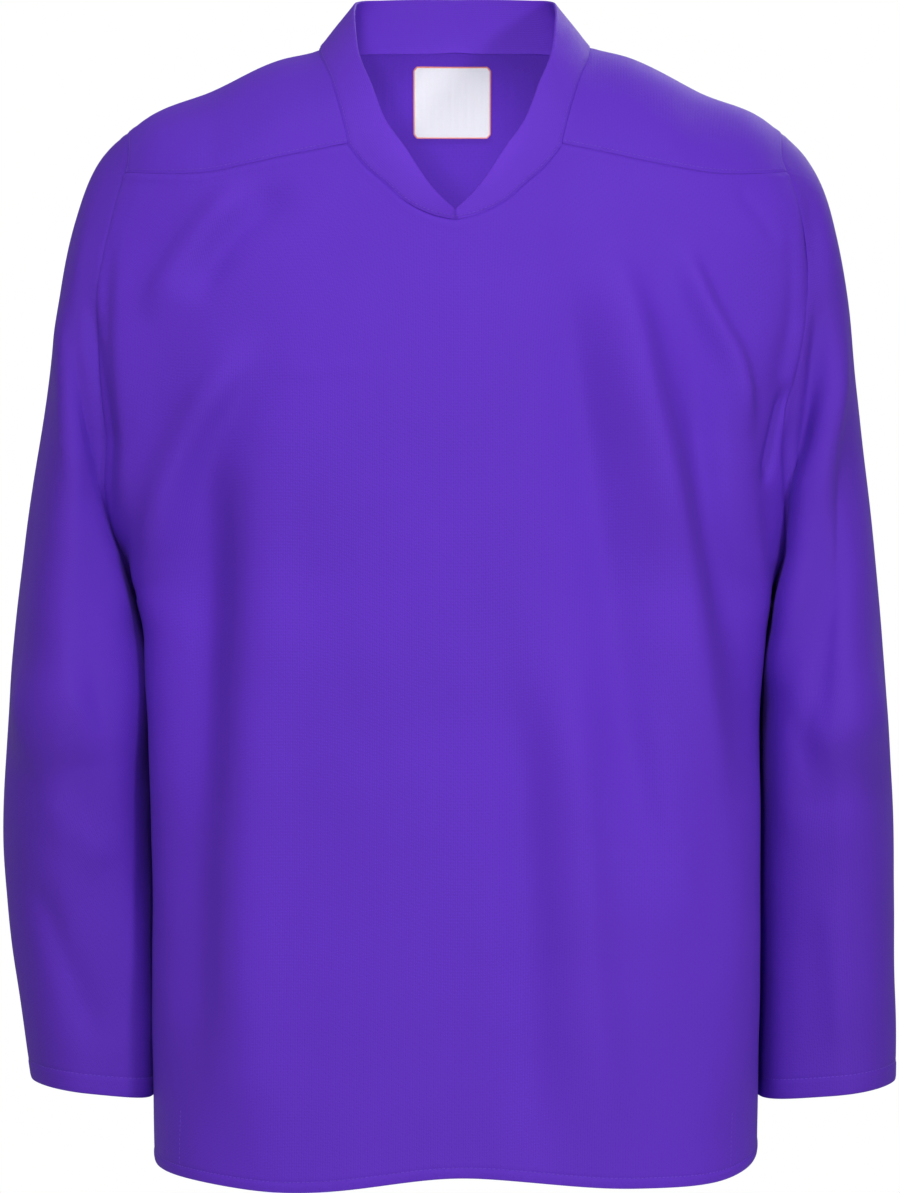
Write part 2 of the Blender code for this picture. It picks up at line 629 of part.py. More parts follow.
def garment_grids():
    """Middle surface of every sewn piece, before its folds."""
    across = front_columns()
    top = front_top(across)
    front = torso_grid(across, HEM_FRONT, top, ROWS_BESIDE_FRONT, False)

    back_across = np.linspace(-1.0, 1.0, COLUMNS_BACK + 1)
    back_top = torso(back_across, BACK_SEAM_Z, True)
    back = torso_grid(back_across, HEM_BACK, back_top, ROWS_BESIDE_BACK, True)

    seam_x = top[COLUMNS_SEAM + 2 * COLUMNS_V:, 0]
    shares = (seam_x - seam_x[0]) / (seam_x[-1] - seam_x[0])
    yoke = yoke_grid(shares)
    yoke[:, 0] = top[COLUMNS_SEAM::-1]
    yoke[:, -1] = top[COLUMNS_SEAM + 2 * COLUMNS_V:]
    yoke[-1, COLUMNS_SHOULDER:COLUMNS_SHOULDER + COLUMNS_BACK + 1] = back_top

    grids = {"front": front, "back": back[:, ::-1], "yoke": yoke}
    beside = ROWS_BELOW_ARM
    for side, column, name, rings in ((-1, 0, "sleeve_right", SLEEVE_RIGHT),
                                      (1, -1, "sleeve_left", SLEEVE_LEFT)):
        arc = yoke[-1, :COLUMNS_SHOULDER + 1]
        if side > 0:
            arc = yoke[-1, :-COLUMNS_SHOULDER - 2:-1]
        behind = back[beside:, column][::-1]
        before = front[beside:, column]
        loop = np.concatenate((arc, behind[1:], before[1:-1]))
        sleeve = sleeve_grid(loop, rings, side)
        grids[name] = sleeve[:, ::-1] if side > 0 else sleeve

    v_left = top[COLUMNS_SEAM:COLUMNS_SEAM + COLUMNS_V + 1][::-1]
    v_right = top[COLUMNS_SEAM + COLUMNS_V:COLUMNS_SEAM + 2 * COLUMNS_V + 1][::-1]
    seam = np.concatenate((v_left, yoke[0, 1:-1], v_right))
    grids["collar"] = band_grid(seam)[:, ::-1]
    return grids


def label_mesh(yoke_points, yoke_faces):
    """The label as a thin sheet that follows the inside of the back yoke."""
    tree = BVHTree.FromPolygons(yoke_points.tolist(), yoke_faces)
    xs = np.linspace(LABEL["left"], LABEL["right"], LABEL["columns"] + 1)
    zs = np.linspace(LABEL["bottom"], LABEL["top"], LABEL["rows"] + 1)
    grid = np.array([[(x, tree.ray_cast((x, -20.0, z), (0.0, 1.0, 0.0))[0].y, z) for x in xs]
                     for z in zs])
    across = np.gradient(grid, axis=1)
    upward = np.gradient(grid, axis=0)
    inward = np.cross(across, upward)
    inward /= np.linalg.norm(inward, axis=-1)[..., None]
    inward *= -np.sign(inward[..., 1:2])
    grid = grid + inward * (LABEL_LIFT + LABEL_WALL / 2)
    return wall_mesh(grid, inward, np.full(grid.shape[:2], LABEL_WALL), False)


def main():
    for old in list(bpy.data.objects):
        bpy.data.objects.remove(old)

    grids = folded(garment_grids())
    normals = panel_normals(grids)
    for name, grid in grids.items():
        closed = name.startswith("sleeve")
        thickness = np.full(grid.shape[:2], COLLAR_WALL if name == "collar" else WALL)
        if name in ("front", "back"):
            thickness[0] = HEM_WALL
        if closed:
            thickness[-1] = HEM_WALL
        drawn = shrink_edges(grid, normals[name], closed)
        points, faces = wall_mesh(drawn, normals[name], thickness, closed)
        colour = BAND_COLOUR if name == "collar" else CLOTH_COLOUR
        add_object(name, points, faces, colour, CLOTH_ROUGHNESS)
        if name == "yoke":
            points, faces = label_mesh(points, faces)
            add_object("neck_label", points, faces, LABEL_COLOUR, LABEL_ROUGHNESS)


main()
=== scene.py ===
import math

import bpy
import numpy as np
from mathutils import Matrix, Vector
from mathutils.bvhtree import BVHTree


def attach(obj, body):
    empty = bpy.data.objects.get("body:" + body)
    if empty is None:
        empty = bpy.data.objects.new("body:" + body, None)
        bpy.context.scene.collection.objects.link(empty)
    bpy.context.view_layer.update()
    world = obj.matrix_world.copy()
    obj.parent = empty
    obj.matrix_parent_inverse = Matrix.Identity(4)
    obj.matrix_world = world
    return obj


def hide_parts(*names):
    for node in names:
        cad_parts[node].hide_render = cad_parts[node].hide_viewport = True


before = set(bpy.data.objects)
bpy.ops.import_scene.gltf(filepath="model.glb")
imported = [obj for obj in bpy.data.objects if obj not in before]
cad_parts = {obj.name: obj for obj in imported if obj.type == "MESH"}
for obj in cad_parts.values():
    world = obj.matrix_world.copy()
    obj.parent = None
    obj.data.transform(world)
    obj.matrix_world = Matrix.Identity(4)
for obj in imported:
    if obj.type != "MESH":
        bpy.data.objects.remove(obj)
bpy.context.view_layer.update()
mm = 0.001
print("frame loaded:", len(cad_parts), "solids")


class NodeDesk:
    # short calls for laying out the nodes of a material or of the world
    def __init__(self, owner, shader="Principled BSDF"):
        owner.use_nodes = True
        self.owner = owner
        self.tree = owner.node_tree
        self.shader = self.tree.nodes[shader]

    def join(self, source, target):
        if isinstance(source, bpy.types.NodeSocket):
            self.tree.links.new(source, target)
        else:
            target.default_value = source

    def add(self, kind, inputs=None, **settings):
        node = self.tree.nodes.new(kind)
        for key, value in settings.items():
            setattr(node, key, value)
        for key, value in (inputs or {}).items():
            self.join(value, node.inputs[key])
        return node

    def put(self, name, value):
        self.join(value, self.shader.inputs[name])

    def math(self, operation, *values):
        return self.add("ShaderNodeMath", dict(enumerate(values)), operation=operation).outputs[0]

    def times(self, first, second):
        return self.math("MULTIPLY", first, second)

    def noise(self, vector, scale, detail):
        inputs = {"Vector": vector, "Scale": scale, "Detail": detail}
        return self.add("ShaderNodeTexNoise", inputs).outputs["Fac"]

    def seenLevel(self, lit, seen):
        # one value for the camera's own rays, another for the light that is given off
        path = self.add("ShaderNodeLightPath")
        inputs = {"Value": path.outputs["Is Camera Ray"], "To Min": lit, "To Max": seen}
        return self.add("ShaderNodeMapRange", inputs).outputs["Result"]

    def twoTone(self, share, colour, dark):
        # the colour runs from a darker shade to one that is as much lighter
        low = [value * dark for value in colour]
        high = [min(1.0, value * (2 - dark)) for value in colour]
        mix = self.add("ShaderNodeMix", {0: share, 6: (*low, 1.0), 7: (*high, 1.0)}, data_type="RGBA")
        self.put("Base Color", mix.outputs[2])

    def bump(self, height, strength, distance):
        inputs = {"Strength": strength, "Distance": distance, "Height": height}
        self.put("Normal", self.add("ShaderNodeBump", inputs).outputs["Normal"])


# ---- camera, floor and light


def disk(size):
    return {"shape": "DISK", "size": size, "spread": math.radians(120.0)}


studio = {
    "cameraPlace": (0.0, -3.3, -0.25),
    "cameraAim": (-0.0034, 0.0, -0.3746),
    "lens": 145.8,
    "sensor": 36.0,  # along the photo's tall side
    "floorHeight": -1.6,
    "floorRadius": 4.9,
    "floorSides": 96,
    "floorRoughness": 0.9,
    "floorColour": (0.9, 0.9, 0.9, 1.0),
    "floorGlow": 0.42,  # only as the camera sees it, with no light of its own
    "white": (1.0, 1.0, 1.0, 1.0),
    "skySeen": 1.0,
    "skyLight": 0.32,
    "lamps": {
        # kind, place, target, power and form; the last two reach into the open neck
        "keyLamp": ("AREA", (1.75, -2.8, 0.4), (0.0, -0.1, -0.36), 14.0, disk(0.45)),
        "topLamp": ("AREA", (-0.35, -1.9, 2.5), (0.0, -0.1, -0.30), 20.5, disk(0.6)),
        "fillLamp": ("AREA", (-0.3, -3.3, -0.2), (0.0, 0.0, -0.38), 8.5, disk(0.25)),
        "backLamp": ("AREA", (1.2, 2.6, 1.2), (0.0, 0.0, -0.38), 14.0, disk(1.6)),
        "neckLamp": ("SPOT", (0.0, -3.28, -0.12), (-0.002, 0.08, -0.047), 110.0,
                     {"spot_size": math.radians(1.9), "spot_blend": 0.6, "shadow_soft_size": 0.02}),
        "insideLamp": ("AREA", (0.0, -0.045, -0.21), (0.0, 0.085, -0.05), 0.2,
                       {"shape": "DISK", "size": 0.16}),
    },
}


def addAimed(name, data, place, target):
    thing = bpy.data.objects.new(name, data)
    thing.location = place
    thing.rotation_mode = "QUATERNION"
    thing.rotation_quaternion = (Vector(target) - thing.location).to_track_quat("-Z", "Y")
    bpy.context.scene.collection.objects.link(thing)
    return thing


def buildStudio():
    camera = bpy.data.cameras.new("photoCamera")
    camera.sensor_width = studio["sensor"]
    camera.lens = studio["lens"]
    camera = addAimed("photoCamera", camera, studio["cameraPlace"], studio["cameraAim"])
    bpy.context.scene.camera = camera
    bpy.context.scene.view_settings.view_transform = "Standard"

    sky = NodeDesk(bpy.data.worlds.new("whiteStudio"), "Background")
    sky.put("Color", studio["white"])
    sky.put("Strength", sky.seenLevel(studio["skyLight"], studio["skySeen"]))
    bpy.context.scene.world = sky.owner

    paint = NodeDesk(bpy.data.materials.new("paleFloor"))
    paint.put("Base Color", studio["floorColour"])
    paint.put("Roughness", studio["floorRoughness"])
    paint.put("Emission Color", studio["white"])
    paint.put("Emission Strength", paint.seenLevel(0.0, studio["floorGlow"]))
    bpy.ops.mesh.primitive_circle_add(vertices=studio["floorSides"], radius=studio["floorRadius"],
                                      fill_type="NGON", location=(0.0, 0.0, studio["floorHeight"]))
    floor = bpy.context.object
    floor.name = "floor"
    floor.data.materials.append(paint.owner)

    for name, (kind, place, target, power, form) in studio["lamps"].items():
        lamp = bpy.data.lights.new(name, kind)
        lamp.energy = power
        for key, value in form.items():
            setattr(lamp, key, value)
        addAimed(name, lamp, place, target)


buildStudio()
print("studio ready")

# ---- small helpers for curves, grids and tables


def softStep(value):
    t = np.clip(value, 0.0, 1.0)
    return t * t * (3 - 2 * t)


def unit(vectors):
    return vectors / np.maximum(np.linalg.norm(vectors, axis=-1), 1e-12)[..., None]


def hermite(start, startSlope, end, endSlope, t):
    return (
        (1 + 2 * t) * (1 - t) ** 2 * start
        + t * (1 - t) ** 2 * startSlope
        + t * t * (3 - 2 * t) * end
        + t * t * (t - 1) * endSlope
    )


def smoothCurve(stations, values, at):
    # cubic through a table's rows, with slopes from the neighbouring rows
    stations = np.asarray(stations, float)
    values = np.asarray(values, float)
    flat = values.ndim == 1
    if flat:
        values = values[:, None]
    at = np.clip(np.asarray(at, float), stations[0], stations[-1])
    gaps = np.diff(stations)[:, None]
    steps = np.diff(values, axis=0) / gaps
    slopes = np.empty_like(values)
    slopes[1:-1] = (steps[:-1] * gaps[1:] + steps[1:] * gaps[:-1]) / (gaps[1:] + gaps[:-1])
    slopes[0] = 1.5 * steps[0] - 0.5 * slopes[1]
    slopes[-1] = 1.5 * steps[-1] - 0.5 * slopes[-2]
    row = np.clip(np.searchsorted(stations, at, side="right") - 1, 0, len(stations) - 2)
    gap = gaps[row, 0][..., None]
    t = (at - stations[row])[..., None] / gap
    result = hermite(values[row], gap * slopes[row], values[row + 1], gap * slopes[row + 1], t)
    return result[..., 0] if flat else result


def runAlong(points, axis=0):
    # running length along a row of points, or along one axis of a grid
    lengths = np.linalg.norm(np.diff(points, axis=axis), axis=-1)
    start = np.zeros_like(np.take(lengths, [0], axis=axis))
    return np.concatenate((start, np.cumsum(lengths, axis=axis)), axis=axis)


def pointAt(run, points, at):
    # the points of a row at other running lengths
    return np.stack([np.interp(at, run, points[:, axis]) for axis in range(3)], axis=-1)


def sharesOf(curve, shares):
    # stations that cut a curve (a function of 0 to 1) at the given shares of its length
    fine = np.linspace(0.0, 1.0, 600)
    run = runAlong(curve(fine))
    return np.interp(np.asarray(shares) * run[-1], run, fine)


fineOffsets = (0.0, 0.5, 1.1, 1.9, 3.0, 4.6, 6.8)  # mm from a seam, where the grid is finer
hemOffsets = (0.0, 0.6, 1.4, 2.6, 3.8, 4.8, 5.5, 6.1, 6.8, 7.6, 9.0, 11.0, 13.5)
cuffOffsets = (0.0, 0.6, 1.4, 2.8, 4.8, 7.0, 9.0, 10.6, 11.8, 12.5, 13.2, 14.2, 16.0, 18.5)


def spread(length, spacing, low=(0.0,), high=(0.0,)):
    # shares from 0 to 1: even steps of about the spacing, finer next to the ends that ask for it
    inside = length - low[-1] - high[-1]
    middle = np.linspace(low[-1], length - high[-1], max(2, round(inside / spacing)) + 1)
    ends = length - np.array(high[:-1])[::-1]
    return np.concatenate((low[:-1], middle, ends)) / length


def gridFaces(rows, columns, roundRows, roundColumns):
    # the quads of a grid of points; a round way joins its last line to its first
    i, j = np.meshgrid(np.arange(rows if roundRows else rows - 1),
                       np.arange(columns if roundColumns else columns - 1), indexing="ij")
    below = (i + 1) % rows * columns
    beside = (j + 1) % columns
    corners = [i * columns + j, i * columns + beside, below + beside, below + j]
    return np.stack(corners, axis=-1).reshape(-1, 4)


def makeMesh(name, points, faces):
    mesh = bpy.data.meshes.new(name)
    mesh.from_pydata((points.reshape(-1, 3) * mm).tolist(), [], faces)
    mesh.shade_smooth()
    return mesh


# ---- the jersey's cut, in millimetres: the solids' sections, with the sleeves fitted closer

torsoCut = {
    # height, half width below the arm, shift, depth in front, depth behind, squareness of each
    "sections": (
        (-765, 204.2, 1, 150, 136, 3.15, 2.30),
        (-680, 204.6, 0.6, 148, 131, 3.30, 2.30),
        (-560, 205, 0.2, 145, 125, 3.30, 2.32),
        (-480, 204.9, 0, 143.5, 123.5, 3.25, 2.34),
        (-450, 205.6, 0, 143, 123, 3.12, 2.35),
        (-424, 207.4, 0, 142.8, 123.4, 2.98, 2.35),
        (-400, 210, 0, 142.5, 124, 2.84, 2.35),
        (-384, 211.8, 0, 142.3, 125, 2.72, 2.35),
        (-368, 212, 0, 142, 126, 2.60, 2.35),
        (-300, 212, 0, 140, 127, 2.50, 2.38),
        (-230, 212, 0, 136, 124, 2.45, 2.42),
        (-160, 212, 0, 127, 114, 2.46, 2.46),
        (-110, 212, 0, 117, 100, 2.50, 2.50),
        (-70, 212, 0, 105, 88, 2.50, 2.50),
    ),
    "underarm": -368,
    "armSqueeze": 3,
    "squeezeHeight": 60,
    "hemFront": ((-1, -753), (-0.55, -756.5), (-0.33, -760.5), (0, -750), (0.36, -758),
                 (0.52, -758), (0.78, -747.5), (1, -742)),
    "hemBack": ((-1, -753), (-0.4, -758), (0, -754), (0.4, -757), (1, -742)),
    "vEdge": ((0, -122.6), (21, -116.5), (35, -108.5), (45.6, -99), (61.5, -84.5), (71, -72)),
    "yokeSeam": ((71, -72), (108, -79), (138, -85), (168, -90), (200, -90.5),
                 (220, -89)),
    "seamEnd": -89,
    "backSeam": -112,
    "junction": 71,
    "liftStart": -265,
    "gridStep": 3.3,
    "lengths": {"neck": 78, "seam": 190, "back": 305, "side": 388},  # that the grid is spread over
    "sideFrom": 0.45,  # share of the half width from which rows turn to the armhole
    "even": {"rows": 14, "inside": 9, "passes": 24},  # rows evened out at the underarm
}

armholeCut = {
    "points": (
        (220, -50, -89),
        (225.5, -61, -112),
        (230.5, -71, -150),
        (231.5, -77, -200),
        (228.5, -75, -250),
        (223, -65, -300),
        (217, -46, -340),
        (213.5, -24, -361),
        (212, 0, -368),
        (213, 25, -361),
        (215, 49, -340),
        (219, 68, -300),
        (223, 79, -250),
        (225, 83, -200),
        (224, 79, -150),
        (220, 70, -112),
    ),
    "underarmRow": 8,
}

shoulderCut = {
    "ridge": ((0, 4, 28), (60, 4, 15), (90, 3, -1.5), (118, 2, -9.5),
              (164, 0, -32), (210, -2, -50.2), (222, -2, -60)),
    "roundness": 1.35,
    "neck": ((71, -1), (77, -0.80), (84, -0.55), (90.5, -0.28), (91, 0), (86, 0.15),
             (73, 0.26), (50, 0.335), (25, 0.372), (0, 0.383)),
    "neckCorner": 6,
    "slopeStep": 2.0,
    "gridStep": 3.3,
    "gridLength": 150,
}

bandCut = {
    "top": ((0, -119, -116.6), (17.8, -116, -98.8), (34.2, -110.5, -74), (46.2, -101.5, -57),
            (56, -86, -32), (65, -62, -9), (68, -30, 13), (68.5, 4, 26.5),
            (66, 30, 32), (50, 44, 34), (25, 49, 35), (0, 50.5, 35)),
    "stations": (0, 0.105, 0.20, 0.28, 0.38, 0.48, 0.57, 0.66, 0.745, 0.84, 0.92, 1),
    "bulge": 1.2,
    "bulgeFrom": -25,
    "height": 30,
    "rowStep": 2.0,
    "topOffsets": (0.0, 0.7, 1.6, 3.0),
}

sleeveCut = {
    # for both arms: height of the outermost point, innermost point, depth in front and behind, bow
    "rings": (
        (-82, 214.8, -373.5, 74, 81, 15),
        (-120, 213.8, -383, 74, 82, 12),
        (-170, 212.6, -394, 77, 83, 8),
        (-232, 211.4, -407, 82, 83, 4.5),
        (-300, 209.8, -424, 87, 81, 2.5),
        (-372, 208.4, -449, 92, 77, 1),
        (-447, 207.7, -488, 91, 71, 0),
        (-520, 207.6, -541, 77, 64, 0),
        (-585, 207.6, -597, 66, 57, 0),
        (-645, 207.6, -655, 59, 50, 0),
        (-704, 206.6, -712.5, 54, 45, 0),
    ),
    # for each arm: how far out a ring reaches, how far its inner side is set back, how square it
    # is in front towards the body, and how far it hugs the body there
    "right": (
        (242.7, 14, 2, 0), (256.7, 18, 2.3, 0.5), (266.7, 20, 3, 2), (275.7, 20, 4, 3.5),
        (286.7, 18, 4.5, 4), (297.2, 15, 4.2, 3), (304.2, 13, 3.6, 0), (308.7, 13, 4.2, 0),
        (305.7, 13, 5.5, 1.5), (297.7, 13, 6, 1.5), (289.7, 12, 6, 0.5),
    ),
    "left": (
        (241.3, 14, 2, 0), (255.3, 18, 2.3, 0.5), (265.8, 21, 3, 2), (272.8, 22, 4, 3.5),
        (280.3, 22, 4.4, 3.5), (287.3, 21, 4.2, 0), (293.8, 20, 4, 0), (298.8, 20, 3.8, 0),
        (300.8, 20, 3.8, 0), (301.3, 19, 3.8, 0), (300.8, 17, 3.8, 0),
    ),
    "cuffDrop": {"right": (0, 0), "left": (-1, -2)},  # of the cuff's outer and inner point
    "outerBack": {"right": 9, "left": 2},  # how far the forearm's outer side is set back
    "forearm": (-260, -460),  # heights between which that begins
    "steps": {"seam": 26, "ring": 62, "cuff": 58},  # cloth from one ring to the next
    "rowSteps": {"seam": 1.6, "ring": 3.9, "cuff": 3.2},
}

torsoTable = np.array(torsoCut["sections"]).T
armholePoints = np.array(armholeCut["points"])
armholeRun = runAlong(armholePoints)
underarmRun = armholeRun[armholeCut["underarmRow"]]
shoulderX = shoulderCut["ridge"][-1][0]


def armholeAt(run):
    return smoothCurve(armholeRun, armholePoints, run)


armholeFront = armholeAt(np.linspace(underarmRun, 0.0, 500))
armholeBack = armholeAt(np.linspace(underarmRun, armholeRun[-1], 500))


def torsoSection(z, behind):
    # half width, depth, squareness and end angle of the torso's front or back at a height
    depth = smoothCurve(torsoTable[0], torsoTable[4 if behind else 3], z)
    square = smoothCurve(torsoTable[0], torsoTable[6 if behind else 5], z)
    side = smoothCurve(torsoTable[0], torsoTable[1], z)
    fine = armholeBack if behind else armholeFront
    holeX = np.interp(z, fine[:, 2], fine[:, 0])
    holeY = np.abs(np.interp(z, fine[:, 2], fine[:, 1]))
    besideArm = z > torsoCut["underarm"]
    share = np.where(besideArm, holeY / depth, 0.0)
    reach = (1 - share ** square) ** (1 / square)
    halfWidth = np.where(besideArm, holeX / reach, side)
    endAngle = np.where(besideArm, np.arctan2(reach, share), math.pi / 2)
    return halfWidth, depth, square, endAngle


def torsoPoint(across, z, behind=False):
    across, z = np.broadcast_arrays(np.asarray(across, float), np.asarray(z, float))
    halfWidth, depth, square, endAngle = torsoSection(z, behind)
    above = np.maximum(z - torsoCut["underarm"], 0.0)
    bunch = 1 + torsoCut["armSqueeze"] * np.exp(-above / torsoCut["squeezeHeight"])
    squeezed = (math.pi / 2 - endAngle) * np.abs(across) ** bunch
    angle = math.pi / 2 * across - squeezed * np.sign(across)
    radius = (np.abs(np.sin(angle)) ** square + np.abs(np.cos(angle)) ** square) ** (1 / square)
    x = halfWidth * np.sin(angle) / radius + smoothCurve(torsoTable[0], torsoTable[2], z)
    y = depth * np.cos(angle) / radius * (1 if behind else -1)
    return np.stack([x, y, z], axis=-1)


def acrossAt(x, z, behind=False):
    x, z = np.broadcast_arrays(np.asarray(x, float), np.asarray(z, float))
    low = np.zeros(x.shape)
    high = np.ones(x.shape)
    for _ in range(34):
        middle = (low + high) / 2
        short = torsoPoint(middle, z, behind)[..., 0] < np.abs(x)
        low = np.where(short, middle, low)
        high = np.where(short, high, middle)
    return np.sign(x) * (low + high) / 2


def topEdge(x):
    x = np.abs(x)
    vPart = smoothCurve(*np.array(torsoCut["vEdge"]).T, x)
    seamPart = smoothCurve(*np.array(torsoCut["yokeSeam"]).T, x)
    return np.where(x < torsoCut["junction"], vPart, seamPart)


def frontAcross():
    step = torsoCut["gridStep"]
    junction = float(acrossAt(torsoCut["junction"], topEdge(torsoCut["junction"])))
    inner = spread(torsoCut["lengths"]["neck"], step) * junction
    outer = spread(torsoCut["lengths"]["seam"], step, fineOffsets, fineOffsets)
    outer = junction + (1 - junction) * outer
    half = np.concatenate((inner, outer[1:]))
    return np.concatenate((-half[:0:-1], half)), len(outer) - 1, len(inner) - 1


def frontTop(across):
    z = np.full(across.shape, torsoCut["seamEnd"])
    for _ in range(8):
        z = topEdge(torsoPoint(across, z)[:, 0])
    return torsoPoint(across, z)


def evenRows(grid, middle, across):
    # takes the kink out of the rows above and below the underarm
    reach = torsoCut["even"]["rows"]
    span = slice(middle - reach, middle + reach + 1)
    inside = softStep((1 - np.abs(across)) * torsoCut["even"]["inside"])[None, :, None]
    window = softStep(1 - np.abs(np.arange(-reach, reach + 1)) / reach)[:, None, None]
    for _ in range(torsoCut["even"]["passes"]):
        before = grid[span.start - 1:span.stop - 1]
        after = grid[span.start + 1:span.stop + 1]
        even = (before + 2 * grid[span] + after) / 4
        grid[span] += (even - grid[span]) * inside * window


def torsoGrid(across, hemTable, top, behind):
    # rows from the hem up to the top edge; the ones beside the arm end on the armhole
    step = torsoCut["gridStep"]
    hem = smoothCurve(*np.array(hemTable).T, across)
    end = armholeRun[-1] if behind else 0.0
    shares = spread(abs(end - underarmRun), step, high=fineOffsets)
    beside = armholeAt(underarmRun + (end - underarmRun) * shares)[:, 2]
    rows = []
    for share in spread(torsoCut["lengths"]["side"], step, low=hemOffsets)[:-1]:
        rows.append(torsoPoint(across, hem + (torsoCut["underarm"] - hem) * share, behind))
    below = len(rows)
    level = np.linspace(torsoCut["underarm"], beside[-1], len(beside))
    toSide = softStep((np.abs(across) - torsoCut["sideFrom"]) / (1 - torsoCut["sideFrom"]))
    for edgeZ, middleZ in zip(beside, level):
        z = middleZ + (edgeZ - middleZ) * toSide
        follow = softStep((z - torsoCut["liftStart"]) / (beside[-1] - torsoCut["liftStart"]))
        rows.append(torsoPoint(across, z + follow * (top[:, 2] - beside[-1]), behind))
    rows[-1] = top
    grid = np.array(rows)
    evenRows(grid, below, across)
    return grid, below


def shoulderPoint(out, over):
    # out is -1 to 1 between the armholes, over is -1 to 1 from the front seam to the back one
    out, over = np.broadcast_arrays(np.asarray(out, float), np.asarray(over, float))
    small = shoulderCut["slopeStep"]
    ridgeTable = np.array(shoulderCut["ridge"])
    ridge = smoothCurve(ridgeTable[:, 0], ridgeTable, np.abs(out) * shoulderX)
    ridge[..., 0] *= np.sign(out)
    result = np.empty(out.shape + (3,))
    for behind in (False, True):
        x = out * armholePoints[-1 if behind else 0, 0]
        if behind:
            z = np.full(x.shape, torsoCut["backSeam"])
        else:
            z = smoothCurve(*np.array(torsoCut["yokeSeam"]).T, np.abs(x))
        across = acrossAt(x, z, behind)
        seam = torsoPoint(across, z, behind)
        rise = (seam - torsoPoint(across, z - small, behind)) / small
        height = (ridge[..., 2] - seam[..., 2])[..., None]
        run = (ridge[..., 1] - seam[..., 1])[..., None]
        up = rise * height * shoulderCut["roundness"]
        level = np.array([0.0, 1.0, 0.0]) * run * shoulderCut["roundness"]
        points = hermite(seam, up, ridge, level, 1 - np.abs(over)[..., None])
        mask = (over > 0) if behind else (over <= 0)
        result[mask] = points[mask]
    return result


def neckCurve(first, last):
    rows = np.array(shoulderCut["neck"])
    rows[:, 0] /= shoulderX
    stations = np.linspace(0.0, 1.0, len(rows))
    start = stations[first]
    end = stations[last]
    return lambda t: smoothCurve(stations, rows, start + (end - start) * np.asarray(t))


def yokeGrid(seamShares, backAcross):
    # rows from the neck seam outward, columns from front left round the back to front right
    corner = shoulderCut["neckCorner"]
    sideCurve = neckCurve(0, corner)
    backCurve = neckCurve(corner, len(shoulderCut["neck"]) - 1)
    sideShares = spread(shoulderCut["gridLength"], shoulderCut["gridStep"], low=fineOffsets)
    backHalf = backAcross[backAcross >= 0]
    backShares = 1 - backHalf[::-1]
    sideAt = sharesOf(lambda t: shoulderPoint(*sideCurve(t).T), sideShares)
    backAt = sharesOf(lambda t: shoulderPoint(*backCurve(t).T), backShares)
    arcAt = sharesOf(lambda t: shoulderPoint(np.ones_like(t), 2 * t - 1), sideShares)
    neck = np.concatenate((sideCurve(sideAt), backCurve(backAt)[1:]))
    sideEdge = np.stack([np.ones_like(arcAt), 2 * arcAt - 1], axis=1)
    backOut = torsoPoint(backHalf[::-1], torsoCut["backSeam"], True)[:, 0]
    backEdge = np.stack([backOut / armholePoints[-1, 0], np.ones_like(backOut)], axis=1)
    edge = np.concatenate((sideEdge, backEdge[1:]))
    share = seamShares[:, None, None]
    half = neck[None] * (1 - share) + edge[None] * share
    flat = np.concatenate((half * np.array([-1.0, 1.0]), half[:, -2::-1]), axis=1)
    return shoulderPoint(flat[..., 0], flat[..., 1]), flat, len(sideShares) - 1


def ringAngles(loop, shoulderColumns, underarmColumn):
    closed = np.concatenate((loop, loop[:1]))
    run = runAlong(closed)
    crown = int(np.argmax(loop[:shoulderColumns + 1, 2]))
    marks = [crown, int(np.argmax(loop[:, 1])), underarmColumn, int(np.argmin(loop[:, 1]))]
    at = [run[mark] for mark in marks] + [run[marks[0]] + run[-1]]
    here = run[:-1] + np.where(run[:-1] < at[0], run[-1], 0.0)
    return np.radians(smoothCurve(at, [0.0, 90.0, 180.0, 270.0, 360.0], here))


def sleeveGrid(loop, angle, arm, side):
    # rows from the armhole seam down to the cuff, columns round the arm
    rings = np.hstack((sleeveCut["rings"], sleeveCut[arm]))
    rings[-1, (0, 2)] += sleeveCut["cuffDrop"][arm]
    stations = [loop]
    toBody = (np.cos(angle) < 0) & (np.sin(angle) < 0)
    elbow, wrist = sleeveCut["forearm"]
    for outerZ, innerX, innerZ, front, back, bow, outerX, setBack, square, hug in rings:
        outer = np.array([side * outerX, 0.0, outerZ])
        inner = np.array([side * innerX, 0.0, innerZ])
        power = np.where(toBody, square, 2.0)
        radius = (np.abs(np.cos(angle)) ** power + np.abs(np.sin(angle)) ** power) ** (1 / power)
        out = np.cos(angle) / radius
        turn = np.sin(angle) / radius
        points = (outer + inner) / 2 + (outer - inner) / 2 * out[:, None]
        points[:, 1] += np.where(turn > 0, back, front) * turn
        points[:, 1] += setBack * ((1 - np.cos(angle)) / 2) ** 2
        forearm = softStep((elbow - outerZ) / (elbow - wrist))
        outerBack = sleeveCut["outerBack"][arm] * forearm
        points[:, 1] += outerBack * ((1 + np.cos(angle)) / 2) ** 2
        points[:, 0] += side * (bow * turn ** 2 - hug * np.sin(2 * angle) ** 2 * toBody)
        stations.append(points)
    last = len(rings)
    long = sleeveCut["steps"]
    rowStep = sleeveCut["rowSteps"]
    start = spread(long["seam"], rowStep["seam"], low=fineOffsets)
    middle = np.arange(1.0, last - 1.0, rowStep["ring"] / long["ring"])
    end = last - 1 + spread(long["cuff"], rowStep["cuff"], high=cuffOffsets)
    at = np.concatenate((start[:-1], middle, end))
    flat = smoothCurve(np.arange(last + 1.0), np.array(stations).reshape(last + 1, -1), at)
    return flat.reshape(len(at), -1, 3)


